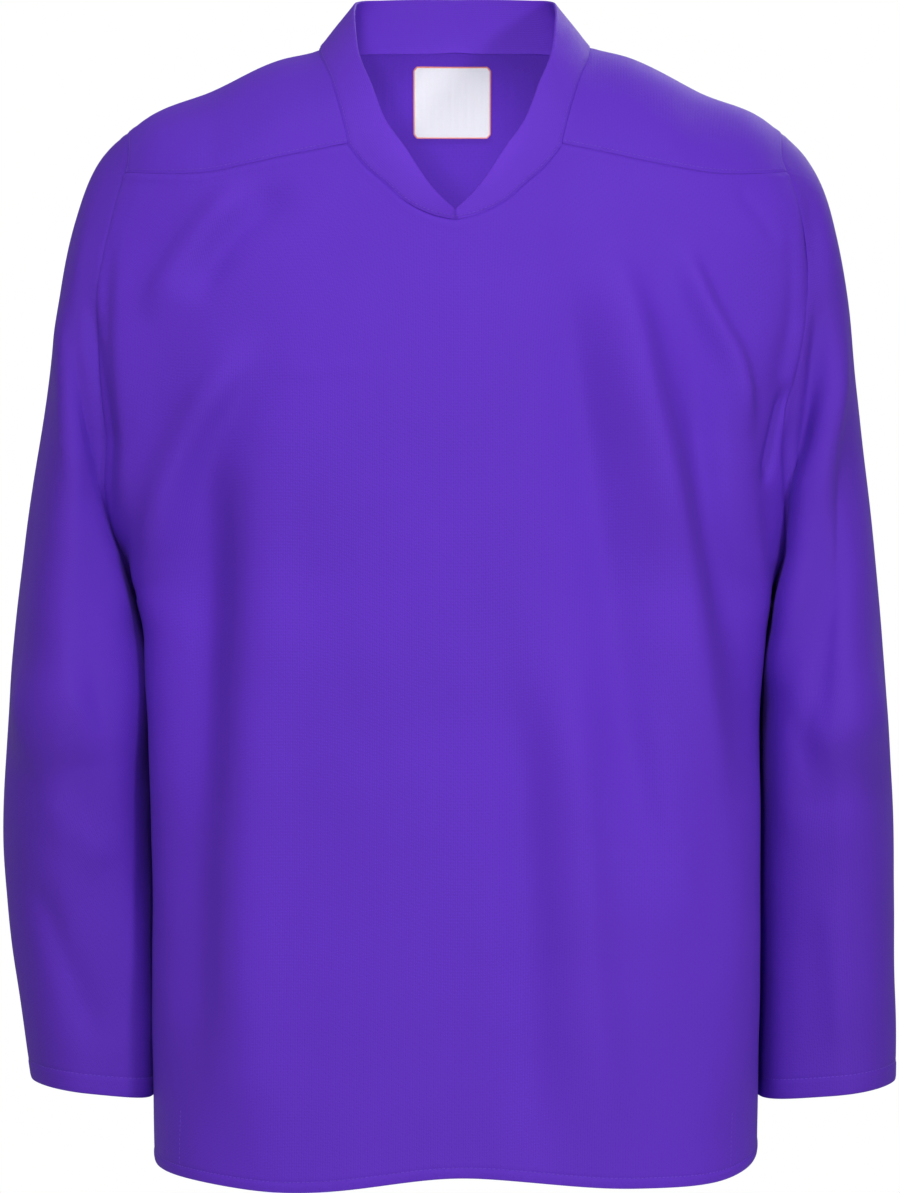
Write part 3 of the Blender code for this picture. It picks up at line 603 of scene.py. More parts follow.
def bandGrid(seam):
    run = runAlong(seam)
    middle = run[-1] / 2
    share = 1 - np.abs(run - middle) / middle
    top = smoothCurve(bandCut["stations"], np.array(bandCut["top"]), share)
    top[:, 0] *= np.where(run < middle, -1.0, 1.0)
    rows = []
    for t in spread(bandCut["height"], bandCut["rowStep"], fineOffsets, bandCut["topOffsets"]):
        points = seam * (1 - t) + top * t
        away = unit(points[:, :2] - np.array([0.0, bandCut["bulgeFrom"]]))
        bulge = bandCut["bulge"] * math.sin(math.pi * t) * softStep(share * 6)
        points[:, :2] += away * bulge[:, None]
        rows.append(points)
    return np.array(rows)


def garmentGrids():
    across, seamColumns, vColumns = frontAcross()
    top = frontTop(across)
    front, frontBelow = torsoGrid(across, torsoCut["hemFront"], top, False)
    backHalf = spread(torsoCut["lengths"]["back"], torsoCut["gridStep"], high=fineOffsets)
    backAcross = np.concatenate((-backHalf[:0:-1], backHalf))
    backTop = torsoPoint(backAcross, torsoCut["backSeam"], True)
    back, backBelow = torsoGrid(backAcross, torsoCut["hemBack"], backTop, True)

    rightEnd = seamColumns + 2 * vColumns
    seamX = top[rightEnd:, 0]
    shares = (seamX - seamX[0]) / (seamX[-1] - seamX[0])
    yoke, flatYoke, sideColumns = yokeGrid(shares, backAcross)
    yoke[:, 0] = top[seamColumns::-1]
    yoke[:, -1] = top[rightEnd:]
    yoke[-1, sideColumns:sideColumns + len(backAcross)] = backTop

    grids = {"front": front, "back": back[:, ::-1], "yoke": yoke}
    marks = {"yoke": flatYoke}
    for side, column, name in ((-1, 0, "sleeve_right"), (1, -1, "sleeve_left")):
        arc = yoke[-1, :sideColumns + 1] if side < 0 else yoke[-1, :-sideColumns - 2:-1]
        behind = back[backBelow:, column][::-1]
        before = front[frontBelow:, column]
        loop = np.concatenate((arc, behind[1:], before[1:-1]))
        angle = ringAngles(loop, sideColumns, sideColumns + len(behind) - 1)
        sleeve = sleeveGrid(loop, angle, name.split("_")[1], side)
        grids[name] = sleeve[:, ::-1] if side > 0 else sleeve
        marks[name] = angle[::-1] if side > 0 else angle

    vLeft = top[seamColumns:seamColumns + vColumns + 1][::-1]
    vRight = top[seamColumns + vColumns:rightEnd + 1][::-1]
    grids["collar"] = bandGrid(np.concatenate((vLeft, yoke[0, 1:-1], vRight)))[:, ::-1]
    return grids, marks


grids, marks = garmentGrids()
for gridName, grid in grids.items():
    print("grid", gridName, grid.shape[:2])

# ---- folds, the soft drift of the cloth, seams and turned edges

foldLook = {
    # height in mm (below 0 is a trough), reach to the picture's left and to its right of the line
    # (below and above it where it runs sideways), then points x, z of the line, drawn downward
    "front": (
        (3, 14, 16, (-222, -120), (-226, -160), (-226, -210), (-221, -270), (-214, -330)),
        (5.5, 11, 12, (-127, -100), (-150, -111), (-166, -128), (-182, -151), (-206, -193)),
        (-5, 12, 13, (-100, -99), (-127, -114), (-150, -135), (-165, -158), (-178, -182)),
        (9.5, 14, 11, (-122, -190), (-144, -217), (-164, -246), (-181, -280), (-195, -324),
         (-200, -360), (-200, -410)),
        (-14, 21, 26, (-104, -200), (-131, -231), (-151, -254), (-163, -279), (-167, -330),
         (-169, -400), (-174, -480), (-180, -552), (-184, -627), (-186, -770)),
        (6, 22, 24, (-115, -226), (-130, -267), (-133, -340), (-134, -438), (-135, -510),
         (-136, -609), (-136, -770)),
        (11, 8, 24, (-196, -330), (-200, -400), (-202, -520), (-204, -640), (-205, -740)),
        (7, 34, 8, (188, -240), (194, -310), (200, -400), (203, -520), (205, -640), (206, -740)),
        (-5.5, 18, 15, (60, -116), (72, -180), (84, -252), (96, -333), (108, -420), (122, -510),
         (134, -590)),
        (13, 26, 14, (84, -122), (113, -178), (124, -232), (138, -290), (148, -360),
         (156, -425), (168, -500), (174, -560)),
        (-7.5, 14, 12, (152, -170), (160, -241), (166, -310), (174, -353), (185, -400),
         (195, -460), (197, -510)),
        (5.5, 24, 12, (98, -128), (107, -155), (114, -182), (121, -215), (130, -262), (138, -310),
         (145, -350)),
        (8, 10, 6, (150, -130), (158, -160), (170, -186), (185, -214), (191, -250), (192, -275)),
        (-3, 9, 7, (230, -100), (230, -146), (226, -180), (219, -210), (210, -260)),
        (-1.4, 4.5, 4.5, (184, -96), (203, -121), (216, -142)),
        (8, 24, 16, (66, -370), (75, -450), (81, -520), (88, -600), (96, -700), (99, -770)),
        (-5.5, 16, 18, (34, -400), (44, -480), (48, -560), (50, -650), (52, -770)),
        (2.5, 12, 9, (126, -415), (136, -491), (150, -544), (160, -600)),
        (0.5, 6, 8, (-122, -217), (-100, -223), (-69, -220), (-46, -223)),
    ),
    "armholes": (
        (-4.5, 7, 5, (-243, -160), (-239, -200), (-235, -234), (-231, -268), (-227, -294),
         (-219, -334)),
        (-6.5, 4.5, 3.5, (222, -226), (213, -261), (209, -278), (203, -302)),
        (-2, 7, 8, (237, -92), (238, -130), (235, -172), (227, -204)),
        (8, 15, 15, (-234, -262), (-229, -300), (-222, -335), (-214, -368), (-211, -400)),
        (8, 15, 15, (234, -262), (228, -300), (221, -335), (214, -368), (211, -400)),
    ),
    "sleeves": (
        (2, 8, 6, (-253, -160), (-245, -207), (-240, -254), (-236, -294), (-230, -340)),
        (4.5, 9, 8, (-265, -166), (-260, -220), (-254, -267), (-249, -315)),
        (-2.5, 40, 14, (-306, -502), (-270, -492), (-241, -488), (-210, -480)),
        (6.5, 30, 26, (-306, -452), (-270, -446), (-236, -440)),
        (-4, 10, 12, (-284, -556), (-268, -604), (-253, -643), (-240, -684)),
        (2.5, 14, 14, (-282, -500), (-258, -526), (-226, -556)),
        (-4.5, 9, 8, (256, -150), (239, -200), (233, -234), (228, -280), (222, -334),
         (212, -372), (202, -400)),
        (8, 10, 8, (264, -172), (255, -227), (246, -275), (237, -328), (230, -375),
         (216, -415), (205, -452)),
        (-6, 10, 14, (270, -232), (261, -301), (257, -341), (248, -395), (239, -455),
         (230, -500)),
        (-2.5, 40, 14, (304, -496), (262, -503), (216, -510)),
        (6, 30, 24, (302, -450), (262, -456), (226, -466)),
        (2, 10, 12, (250, -560), (256, -620), (262, -690)),
    ),
    "back": (
        (7, 28, 22, (-118, -125), (-145, -200), (-152, -300), (-150, -430)),
        (7, 26, 22, (-150, -400), (-156, -520), (-156, -640), (-150, -770)),
        (-6, 20, 20, (-184, -300), (-188, -420), (-184, -560), (-182, -770)),
        (5.5, 20, 28, (-56, -470), (-64, -580), (-64, -680), (-62, -770)),
        (-5, 24, 24, (-106, -460), (-109, -600), (-107, -770)),
        (-4.5, 30, 30, (12, -400), (8, -580), (13, -770)),
        (6.5, 22, 28, (118, -130), (142, -210), (148, -310), (146, -440)),
        (7, 22, 26, (146, -410), (153, -540), (152, -650), (148, -770)),
        (-6, 20, 20, (184, -320), (186, -450), (184, -600), (184, -770)),
        (5, 28, 20, (72, -490), (82, -600), (82, -700), (80, -770)),
        (-2.2, 12, 12, (-92, -140), (-108, -205), (-118, -290)),
        (-2.4, 12, 12, (96, -140), (110, -225), (118, -310)),
        (1.8, 12, 12, (-18, -470), (-20, -620), (-16, -770)),
        (-2, 12, 12, (114, -510), (116, -640), (112, -770)),
        (-1.4, 16, 16, (-62, -250), (0, -262), (64, -248)),
        (-2.4, 8, 14, (-196, -160), (-206, -220), (-204, -300)),
        (-2.4, 14, 8, (196, -160), (206, -220), (204, -300)),
    ),
    "sleevesBack": (
        (5, 16, 14, (-238, -150), (-256, -250), (-250, -350), (-236, -440)),
        (-4, 16, 16, (-270, -220), (-276, -330), (-268, -450), (-258, -560)),
        (-4.5, 12, 16, (-296, -470), (-262, -500), (-222, -505)),
        (3, 10, 12, (-250, -560), (-262, -620), (-258, -700)),
        (5, 14, 16, (238, -150), (254, -250), (248, -350), (234, -440)),
        (-4, 16, 16, (266, -220), (270, -330), (264, -450), (256, -560)),
        (-4.5, 12, 16, (222, -500), (258, -510), (292, -486)),
        (3, 12, 10, (254, -560), (264, -620), (258, -700)),
    ),
}

seamDrift = {
    # how far the armhole seams sit outward of the cut, at heights, on the picture's left and right
    "heights": (-80, -125, -170, -210, -240, -275, -310, -345),
    "left": (0, 2, 6, 7.5, 7.5, 7, 5, 0),
    "right": (0, 5, 4, -2, -7, -9, -6, 0),
    "reach": 30,
}

foldShape = {
    "farthest": 2.6,  # reaches from its line at which a fold has died away
    "lineStep": 9.0,
    "ends": 3.5,  # how soon it rises from its ends
    "facing": 2.4,
    "seamReach": 10.0,
    "seamBelow": 6.0,
}

driftLook = {"waves": 18, "depth": 0.55, "lengths": (46.0, 150.0), "upright": 0.35, "seed": 11,
             "bend": 14.0, "bendSteps": (70, 160), "growth": 0.8}

seamLook = {
    # panel: (edge, groove depth, ridge height) for each sewn edge
    "front": (("top", 0.05, 0.55), ("left", 0.12, 0.20), ("right", 0.12, 0.20)),
    "back": (("top", 0.10, 0.45), ("left", 0.12, 0.20), ("right", 0.12, 0.20)),
    "yoke": (("bottom", 0.08, 0.10), ("top", 0.10, 0.25), ("left", 0.05, 0.15),
             ("right", 0.05, 0.15)),
    "sleeve": (("bottom", 0.12, 0.15),),
    "collar": (("bottom", 0.10, 0.30), ("left", 0.12, 0.0), ("right", 0.12, 0.0)),
    "ridgeAt": 3.6,
    "grooveWidth": 1.1,
    "pucker": 0.13,
    "puckerStep": 8.5,
    "puckerAt": 4.0,
    "wander": (37.0, 17.3, 1.6),  # two lengths of the puckers' unevenness and its strength
    "fadeStep": 53.0,
}

turnedLook = {
    # a turned edge: a little proud below the stitch line, drawn in along it, rolled at the fold
    "proud": 0.35,
    "proudEase": 3.0,
    "drawn": 0.45,
    "drawnWidth": 0.9,
    "rolled": 0.30,
    "rolledWidth": 1.2,
}

neckPleats = {"height": 0.55, "step": 6.1, "from": -72.0, "to": 66.0, "top": -4.0, "bottom": -62.0}

clothLook = {
    "outerOffset": 1.0,
    "leastOffset": 0.15,
    "cornerReach": 4.0,
    "thickness": {"front": 1.1, "back": 1.1, "yoke": 1.1, "sleeve": 1.1, "collar": 2.0},
    "turned": {"front": ("bottom", 6.1), "back": ("bottom", 6.1), "sleeve": ("top", 12.5)},
    "turnedThickness": 2.1,
    "turnedPast": 1.2,
    "innerShare": 0.6,  # how much of the outside's small relief shows inside
}

edgeAxis = {"bottom": (0, False), "top": (0, True), "left": (1, False), "right": (1, True)}


def gridNormals(points, closed=False):
    if closed:
        across = np.roll(points, -1, axis=1) - np.roll(points, 1, axis=1)
    else:
        across = np.gradient(points, axis=1)
    return unit(np.cross(across, np.gradient(points, axis=0)))


def kindOf(name):
    return name.split("_")[0]


def isTube(name):
    return kindOf(name) == "sleeve"


def sharedNormals(panels):
    # outward normals, made equal where two panels meet along a seam
    own = {name: gridNormals(points, isTube(name)) for name, points in panels.items()}
    edges = [(0, slice(None)), (-1, slice(None))]
    sides = [(slice(None), 0), (slice(None), -1)]
    gathered = {}
    for name, points in panels.items():
        for spot in edges + ([] if isTube(name) else sides):
            for point, normal in zip(np.round(points[spot], 2), own[name][spot]):
                gathered.setdefault(tuple(point), {})[name] = normal
    result = {name: normals.copy() for name, normals in own.items()}
    for name, points in panels.items():
        for spot in edges + ([] if isTube(name) else sides):
            met = [sum(gathered[tuple(point)].values()) for point in np.round(points[spot], 2)]
            result[name][spot] = unit(np.array(met))
    return own, result


def foldPush(points, folds):
    total = np.zeros(points.shape[:-1])
    spot = points[..., (0, 2)].reshape(-1, 2)
    for height, reachLeft, reachRight, *marks in folds:
        line = np.array(marks, float)
        at = runAlong(line)
        count = max(8, int(at[-1] / foldShape["lineStep"]))
        line = smoothCurve(at, line, np.linspace(0.0, at[-1], count))
        widest = foldShape["farthest"] * max(reachLeft, reachRight)
        near = ((spot > line.min(axis=0) - widest) & (spot < line.max(axis=0) + widest)).all(axis=1)
        near = np.flatnonzero(near)
        if not len(near):
            continue
        step = np.diff(line, axis=0)
        toPoint = spot[near, None] - line[:-1]
        share = np.clip((toPoint * step).sum(axis=-1) / (step ** 2).sum(axis=1), 0.0, 1.0)
        apart = np.linalg.norm(toPoint - share[..., None] * step, axis=-1)
        best = apart.argmin(axis=1)
        pick = np.arange(len(near))
        along = (best + share[pick, best]) / (len(line) - 1)
        side = step[best, 0] * toPoint[pick, best, 1] - step[best, 1] * toPoint[pick, best, 0]
        reach = np.where(side > 0, reachRight, reachLeft)
        ease = softStep(along * foldShape["ends"]) * softStep((1 - along) * foldShape["ends"])
        total.reshape(-1)[near] += height * ease * np.exp(-((apart[pick, best] / reach) ** 2))
    return total


def seamShift(points):
    # slides the cloth sideways in front so that each armhole seam runs where the photo has it
    result = np.zeros(points.shape)
    x, y, z = np.moveaxis(points, -1, 0)
    heights = seamDrift["heights"]
    seamX = np.interp(z, armholeFront[:, 2], armholeFront[:, 0])
    near = np.exp(-(((np.abs(x) - seamX) / seamDrift["reach"]) ** 2))
    near = near * softStep((-y - 5.0) / 45.0)
    for side, name in ((-1, "left"), (1, "right")):
        out = smoothCurve(heights[::-1], seamDrift[name][::-1], z)
        inSpan = (z > heights[-1]) & (z < heights[0])
        result[..., 0] += side * out * near * (x * side > 0) * inSpan
    return result


def driftPush(points):
    # long uneven waves that run mostly up and down the cloth
    rng = np.random.default_rng(driftLook["seed"])
    total = np.zeros(points.shape[:-1])
    for _ in range(driftLook["waves"]):
        length = rng.uniform(*driftLook["lengths"])
        way = rng.normal(size=3) * np.array([1.0, 1.0, driftLook["upright"]])
        way /= np.linalg.norm(way)
        phase = rng.uniform(0, 2 * math.pi)
        bend = driftLook["bend"] * np.sin(points[..., 2] / rng.uniform(*driftLook["bendSteps"]) + phase)
        wave = np.sin(2 * math.pi * (points @ way + bend) / length + phase)
        total += wave * (length / 100) ** driftLook["growth"]
    return total * driftLook["depth"] / math.sqrt(driftLook["waves"] / 2)


def edgeDistance(points, edge):
    axis, far = edgeAxis[edge]
    if far:
        return np.flip(runAlong(np.flip(points, axis), axis), axis)
    return runAlong(points, axis)


def seamPush(name, points):
    total = np.zeros(points.shape[:-1])
    first, second, strength = seamLook["wander"]
    for edge, groove, ridge in seamLook[kindOf(name)]:
        away = edgeDistance(points, edge)
        along = runAlong(points, 1 - edgeAxis[edge][0])
        hump = (away / seamLook["ridgeAt"]) ** 2 * np.exp(1 - (away / seamLook["ridgeAt"]) ** 2)
        wander = np.sin(along / first) + 0.7 * np.sin(along / second + 1.3)
        pull = np.sin(2 * math.pi * along / seamLook["puckerStep"] + strength * wander)
        fade = (away / seamLook["puckerAt"]) * np.exp(1 - away / seamLook["puckerAt"])
        total += ridge * hump - groove * np.exp(-((away / seamLook["grooveWidth"]) ** 2))
        uneven = 0.6 + 0.4 * np.sin(along / seamLook["fadeStep"] + 0.7)
        total += seamLook["pucker"] * pull * fade * uneven
    return total


def turnedPush(away, depth):
    ease = turnedLook["proudEase"]
    proud = turnedLook["proud"] * softStep((depth + ease / 2 - away) / ease)
    drawn = turnedLook["drawn"] * np.exp(-(((away - depth) / turnedLook["drawnWidth"]) ** 2))
    rolled = turnedLook["rolled"] * np.exp(-((away / turnedLook["rolledWidth"]) ** 2))
    return proud - drawn - rolled


def pleatPush(points):
    # soft upright ribs in the cloth behind the neck, where it is gathered onto the band
    x, y, z = np.moveaxis(points, -1, 0)
    wave = 0.5 + 0.5 * np.cos(2 * math.pi * (x + 1.5 * np.sin(x / 19.0)) / neckPleats["step"])
    span = softStep((x - neckPleats["from"]) / 12.0) * softStep((neckPleats["to"] - x) / 12.0)
    span = span * softStep((z - neckPleats["bottom"]) / 14.0) * softStep((neckPleats["top"] - z) / 8.0)
    return neckPleats["height"] * wave ** 2 * span * (y > 20.0)


def pushFolds(panels):
    _, normals = sharedNormals(panels)
    result = {}
    for name, points in panels.items():
        if name == "collar":
            result[name] = points
            continue
        forward = softStep(-normals[name][..., 1] * foldShape["facing"])
        backward = softStep(normals[name][..., 1] * foldShape["facing"])
        points = points + seamShift(points)
        seamX = np.interp(points[..., 2], armholeFront[:, 2], armholeFront[:, 0])
        ownShare = softStep(np.abs(np.abs(points[..., 0]) - seamX) / foldShape["seamReach"])
        besideArm = points[..., 2] > torsoCut["underarm"] - foldShape["seamBelow"]
        ownShare = np.where(besideArm, ownShare, 1.0)
        ahead = foldPush(points, foldLook["sleeves" if isTube(name) else "front"]) * ownShare
        ahead += foldPush(points, foldLook["armholes"])
        behind = foldPush(points, foldLook["sleevesBack" if isTube(name) else "back"]) * ownShare
        push = ahead * forward + behind * backward
        result[name] = points + normals[name] * (push + driftPush(points))[..., None]
    return result


def panelSurfaces(panels):
    # outer and inner surface of every panel
    own, normals = sharedNormals(panels)
    result = {}
    for name, points in panels.items():
        agree = np.clip((own[name] * normals[name]).sum(axis=-1), 0.0, 1.0) ** 2
        lift = np.full(points.shape[:-1], clothLook["outerOffset"])
        for edge, (axis, far) in edgeAxis.items():
            if isTube(name) and axis:
                continue
            unlike = 1 - np.take(agree, [-1 if far else 0], axis=axis)
            lift -= unlike * np.exp(-((edgeDistance(points, edge) / clothLook["cornerReach"]) ** 2))
        lift = np.maximum(lift, clothLook["leastOffset"])
        push = seamPush(name, points)
        thick = np.full(lift.shape, clothLook["thickness"][kindOf(name)])
        if kindOf(name) in clothLook["turned"]:
            edge, depth = clothLook["turned"][kindOf(name)]
            away = edgeDistance(points, edge)
            push += turnedPush(away, depth)
            thick[away < depth + clothLook["turnedPast"]] = clothLook["turnedThickness"]
        outer = points + normals[name] * (lift + push)[..., None]
        inset = push * clothLook["innerShare"] - thick
        if name == "yoke":
            inset -= pleatPush(points)
        inner = points + normals[name] * (lift + inset)[..., None]
        result[name] = (outer, inner, normals[name])
    return result


folded = pushFolds(grids)
surfaces = panelSurfaces(folded)
print("folds pressed in")

# ---- the cloth's own coordinates, in metres along the wales (v) and across them (u)

yokeReach = (250.0, 120.0)


def clothCoordinates(name, points):
    if isTube(name):
        points = np.concatenate((points, points[:, :1]), axis=1)
    across = runAlong(points, 1)
    upward = runAlong(points, 0)
    if name == "collar":
        across, upward = upward, across
    elif name == "yoke":
        across, upward = np.moveaxis(marks["yoke"] * np.array(yokeReach), -1, 0)
    elif isTube(name):
        upward = np.repeat(upward[:, :1], upward.shape[1], axis=1)
    else:
        middle = across.shape[1] // 2
        across = across - across[:, middle:middle + 1]
    return np.stack([across, upward], axis=-1) * mm


# ---- the closed thin shell that every piece of cloth is


def shellMesh(name, outer, inner, coordinates, closed, roundFirst, roundLast):
    # open edges get a rolled rim, sewn edges a flat one
    rows, columns = outer.shape[:2]

    def rim(index, nextIndex, rounded):
        if not rounded:
            return np.empty((0, columns, 3))
        middle = (outer[index] + inner[index]) / 2
        half = (outer[index] - inner[index]) / 2
        beyond = unit(outer[index] - outer[nextIndex]) * np.linalg.norm(half, axis=-1)[:, None]
        turn = np.linspace(0.0, math.pi, 6)[1:-1, None, None]
        return middle + half * np.cos(turn) + beyond * np.sin(turn)

    lastRim = rim(-1, -2, roundLast)
    firstRim = rim(0, 1, roundFirst)[::-1]
    loop = np.concatenate((outer, lastRim, inner[::-1], firstRim))
    uvRows = [*range(rows), *[rows - 1] * len(lastRim), *range(rows)[::-1], *[0] * len(firstRim)]
    uv = coordinates[uvRows]
    total = len(loop)
    quads = gridFaces(total, columns, True, closed)
    beside = quads[:, :1] % columns + np.array([0, 1, 1, 0])
    cornerUv = [uv[quads // columns, beside].reshape(-1, 2)]
    ends = []
    for column, turned in () if closed else ((0, False), (columns - 1, True)):
        chain = [(row, 2 * rows + len(lastRim) - 1 - row) for row in range(rows)]
        flat = [[a, b, c, d] for (a, d), (b, c) in zip(chain[:-1], chain[1:])]
        for start, count in ((rows - 1, len(lastRim)), (total - len(firstRim) - 1, len(firstRim))):
            if count:
                flat.append([(start + k) % total for k in range(count + 2)])
        ends += [[k * columns + column for k in (face[::-1] if turned else face)] for face in flat]
    if ends:
        cornerUv.append(uv.reshape(-1, 2)[[k for face in ends for k in face]])
    mesh = makeMesh(name, loop, quads.tolist() + ends)
    layer = mesh.uv_layers.new(name="cloth")
    layer.data.foreach_set("uv", np.concatenate(cornerUv).ravel())
    return mesh


def addPiece(name, mesh, material):
    piece = bpy.data.objects.new(name, mesh)
    bpy.context.scene.collection.objects.link(piece)
    piece.data.materials.append(material)
    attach(piece, "root")
    return piece


def addCloth(node, mesh, material):
    piece = addPiece(node + "_cloth", mesh, material)
    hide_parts(node)


# ---- materials

knitLook = {
    # colour, the share of it in the darkest loops, size of a loop in mm, depth of relief, eyelets
    "body": {"name": "purpleKnit", "colour": (0.106, 0.0262, 0.490), "dark": 0.86, "wale": 1.15,
             "course": 0.95, "bump": 0.34, "hole": True},
    # painted shade: the sleeves use the body's purple made darker, though the real cloth is one colour
    "sleeve": {"name": "purpleSleeveKnitPaintedShade", "colour": (0.096, 0.0237, 0.442), "dark": 0.86,
               "wale": 1.15, "course": 0.95, "bump": 0.34, "hole": True},  # a shade deeper
    # painted shade: a deeper copy of the body's colour for the sleeves
    "collar": {"name": "purpleBandKnit", "colour": (0.112, 0.0280, 0.500), "dark": 0.84,
               "wale": 1.3, "course": 1.0, "bump": 0.42, "hole": False},
    "shader": {"Specular IOR Level": 0.15, "Sheen Weight": 0.04, "Sheen Roughness": 0.45,
               "Sheen Tint": (0.50, 0.36, 1.0, 1.0)},
    "roughness": 0.57,
    "relief": 0.00035,
}

threadLook = {
    "purple": {"name": "purpleThread", "colour": (0.115, 0.032, 0.52), "twist": 900.0},
    "salmon": {"name": "salmonThread", "colour": (0.83, 0.28, 0.22), "twist": 1500.0},
}


def knitMaterial(look):
    desk = NodeDesk(bpy.data.materials.new(look["name"]))
    cloth = desk.add("ShaderNodeUVMap", uv_map="cloth").outputs["UV"]
    across, upward, _ = desk.add("ShaderNodeSeparateXYZ", {"Vector": cloth}).outputs
    wales = desk.times(across, 1000.0 / look["wale"])
    courses = desk.times(upward, 1000.0 / look["course"])
    # each wale is a column of V-shaped loops
    centred = desk.math("ABSOLUTE", desk.math("SUBTRACT", desk.math("FRACT", wales), 0.5))
    ridge = desk.math("SUBTRACT", 1.0, desk.times(desk.times(centred, centred), 4.0))
    loops = desk.math("SINE", desk.times(desk.math("ADD", courses, centred), 2 * math.pi))
    height = desk.math("MULTIPLY_ADD", loops, 0.32, desk.times(ridge, 0.7))
    if look["hole"]:
        # rows of small eyelets that alternate, as in a light mesh knit
        alongWale = desk.math("SINE", desk.times(wales, math.pi / 2))
        alongCourse = desk.math("SINE", desk.times(courses, math.pi / 2))
        eyelet = desk.math("MULTIPLY_ADD", desk.times(alongWale, alongCourse), 3.0, -1.9)
        eyelet = desk.math("SMOOTH_MIN", 1.0, desk.math("MAXIMUM", 0.0, eyelet), 0.2)
        height = desk.math("SUBTRACT", height, desk.times(eyelet, 0.7))
    place = desk.add("ShaderNodeTexCoord").outputs["Object"]
    broad = desk.noise(place, 9.0, 3.0)
    yarn = desk.noise(cloth, 900.0, 2.0)
    tone = desk.math("MULTIPLY_ADD", height, 0.30, desk.times(broad, 0.55))
    tone = desk.math("ADD", tone, desk.times(yarn, 0.25))
    desk.twoTone(tone, look["colour"], look["dark"])
    desk.put("Roughness", desk.math("MULTIPLY_ADD", yarn, 0.10, knitLook["roughness"]))
    desk.bump(desk.math("ADD", height, desk.times(yarn, 0.35)), look["bump"], knitLook["relief"])
    for name, value in knitLook["shader"].items():
        desk.put(name, value)
    return desk.owner


def threadMaterial(look):
    desk = NodeDesk(bpy.data.materials.new(look["name"]))
    place = desk.add("ShaderNodeTexCoord").outputs["Object"]
    desk.twoTone(desk.noise(place, 2600.0, 1.0), look["colour"], 0.8)
    twist = desk.add("ShaderNodeTexWave", {"Vector": place, "Scale": look["twist"]},
                     wave_type="BANDS", bands_direction="DIAGONAL")
    desk.bump(twist.outputs["Fac"], 0.3, 0.0001)
    desk.put("Roughness", 0.5)
    desk.put("Sheen Weight", 0.1)
    return desk.owner


knits = {kind: knitMaterial(knitLook[kind]) for kind in ("body", "sleeve", "collar")}
threads = {kind: threadMaterial(look) for kind, look in threadLook.items()}
print("materials ready")

# ---- the sewn panels


def buildPanels():
    for panel, (outer, inner, _) in surfaces.items():
        hem = clothLook["turned"].get(kindOf(panel), ("", 0.0))[0]
        mesh = shellMesh(panel + "_cloth", outer, inner, clothCoordinates(panel, folded[panel]),
                         isTube(panel), hem == "bottom", hem == "top" or panel == "collar")
        # the sleeves get the darker copy of the knit, which is painted shade
        addCloth(panel, mesh, knits.get(kindOf(panel), knits["body"]))
        area = sum(face.area for face in mesh.polygons) / 2
        print("panel", panel, "faces", len(mesh.polygons), "area %.4f" % area)


buildPanels()

# ---- neck label

labelLook = {
    "left": -28.5,
    "right": 24.5,
    "top": -10.2,
    "bottom": -57.6,
    "chamfer": 2.2,
    "lift": 0.5,
    "flare": 0.7,  # how far the loose lower edge stands off besides
    "thickness": 0.5,
    "step": 1.6,
    "columns": 35,
    "edgeOffsets": (0.0, 0.6, 1.3, 2.6),
    "weave": {"Scale": 1.0, "Brick Width": 0.0006, "Row Height": 0.0003, "Mortar Size": 0.00004,
              "Color1": (0.92, 0.92, 0.93, 1.0), "Color2": (0.87, 0.87, 0.89, 1.0),
              "Mortar": (0.76, 0.76, 0.78, 1.0)},
}

edgeThread = {"radius": 0.55, "sides": 7, "step": 0.42, "wrap": 0.16, "wrapStep": 1.05}


def labelGrid():
    _, inner, _ = surfaces["yoke"]
    faces = gridFaces(*inner.shape[:2], False, False)
    tree = BVHTree.FromPolygons(inner.reshape(-1, 3).tolist(), faces.tolist())
    centreX = (labelLook["left"] + labelLook["right"]) / 2
    centreZ = (labelLook["top"] + labelLook["bottom"]) / 2
    halfX = (labelLook["right"] - labelLook["left"]) / 2
    halfZ = (labelLook["top"] - labelLook["bottom"]) / 2
    offsets = labelLook["edgeOffsets"]
    rows = []
    for step in spread(2 * halfZ, labelLook["step"], offsets, offsets) * 2 - 1:
        z = step * halfZ
        cut = max(0.0, abs(z) - (halfZ - labelLook["chamfer"]))
        row = []
        for share in np.linspace(-1.0, 1.0, labelLook["columns"]):
            x = centreX + share * (halfX - cut)
            hit = tree.ray_cast((x, -20.0, centreZ + z), (0.0, 1.0, 0.0))[0]
            row.append((x, hit.y, centreZ + z))
        rows.append(row)
    points = np.array(rows)
    inward = -np.abs(gridNormals(points)[..., 1:2]) * np.array([0.0, 1.0, 0.0])
    drop = softStep((labelLook["top"] - points[..., 2]) / (2 * halfZ))
    lift = labelLook["lift"] + labelLook["flare"] * drop ** 3
    return points + inward * lift[..., None]


def labelMaterial():
    desk = NodeDesk(bpy.data.materials.new("wovenLabel"))
    place = desk.add("ShaderNodeTexCoord").outputs["UV"]
    weave = desk.add("ShaderNodeTexBrick", {"Vector": place, **labelLook["weave"]})
    desk.put("Base Color", weave.outputs["Color"])
    desk.bump(weave.outputs["Fac"], 0.25, -0.0001)
    desk.put("Roughness", 0.42)
    desk.put("Specular IOR Level", 0.4)
    return desk.owner


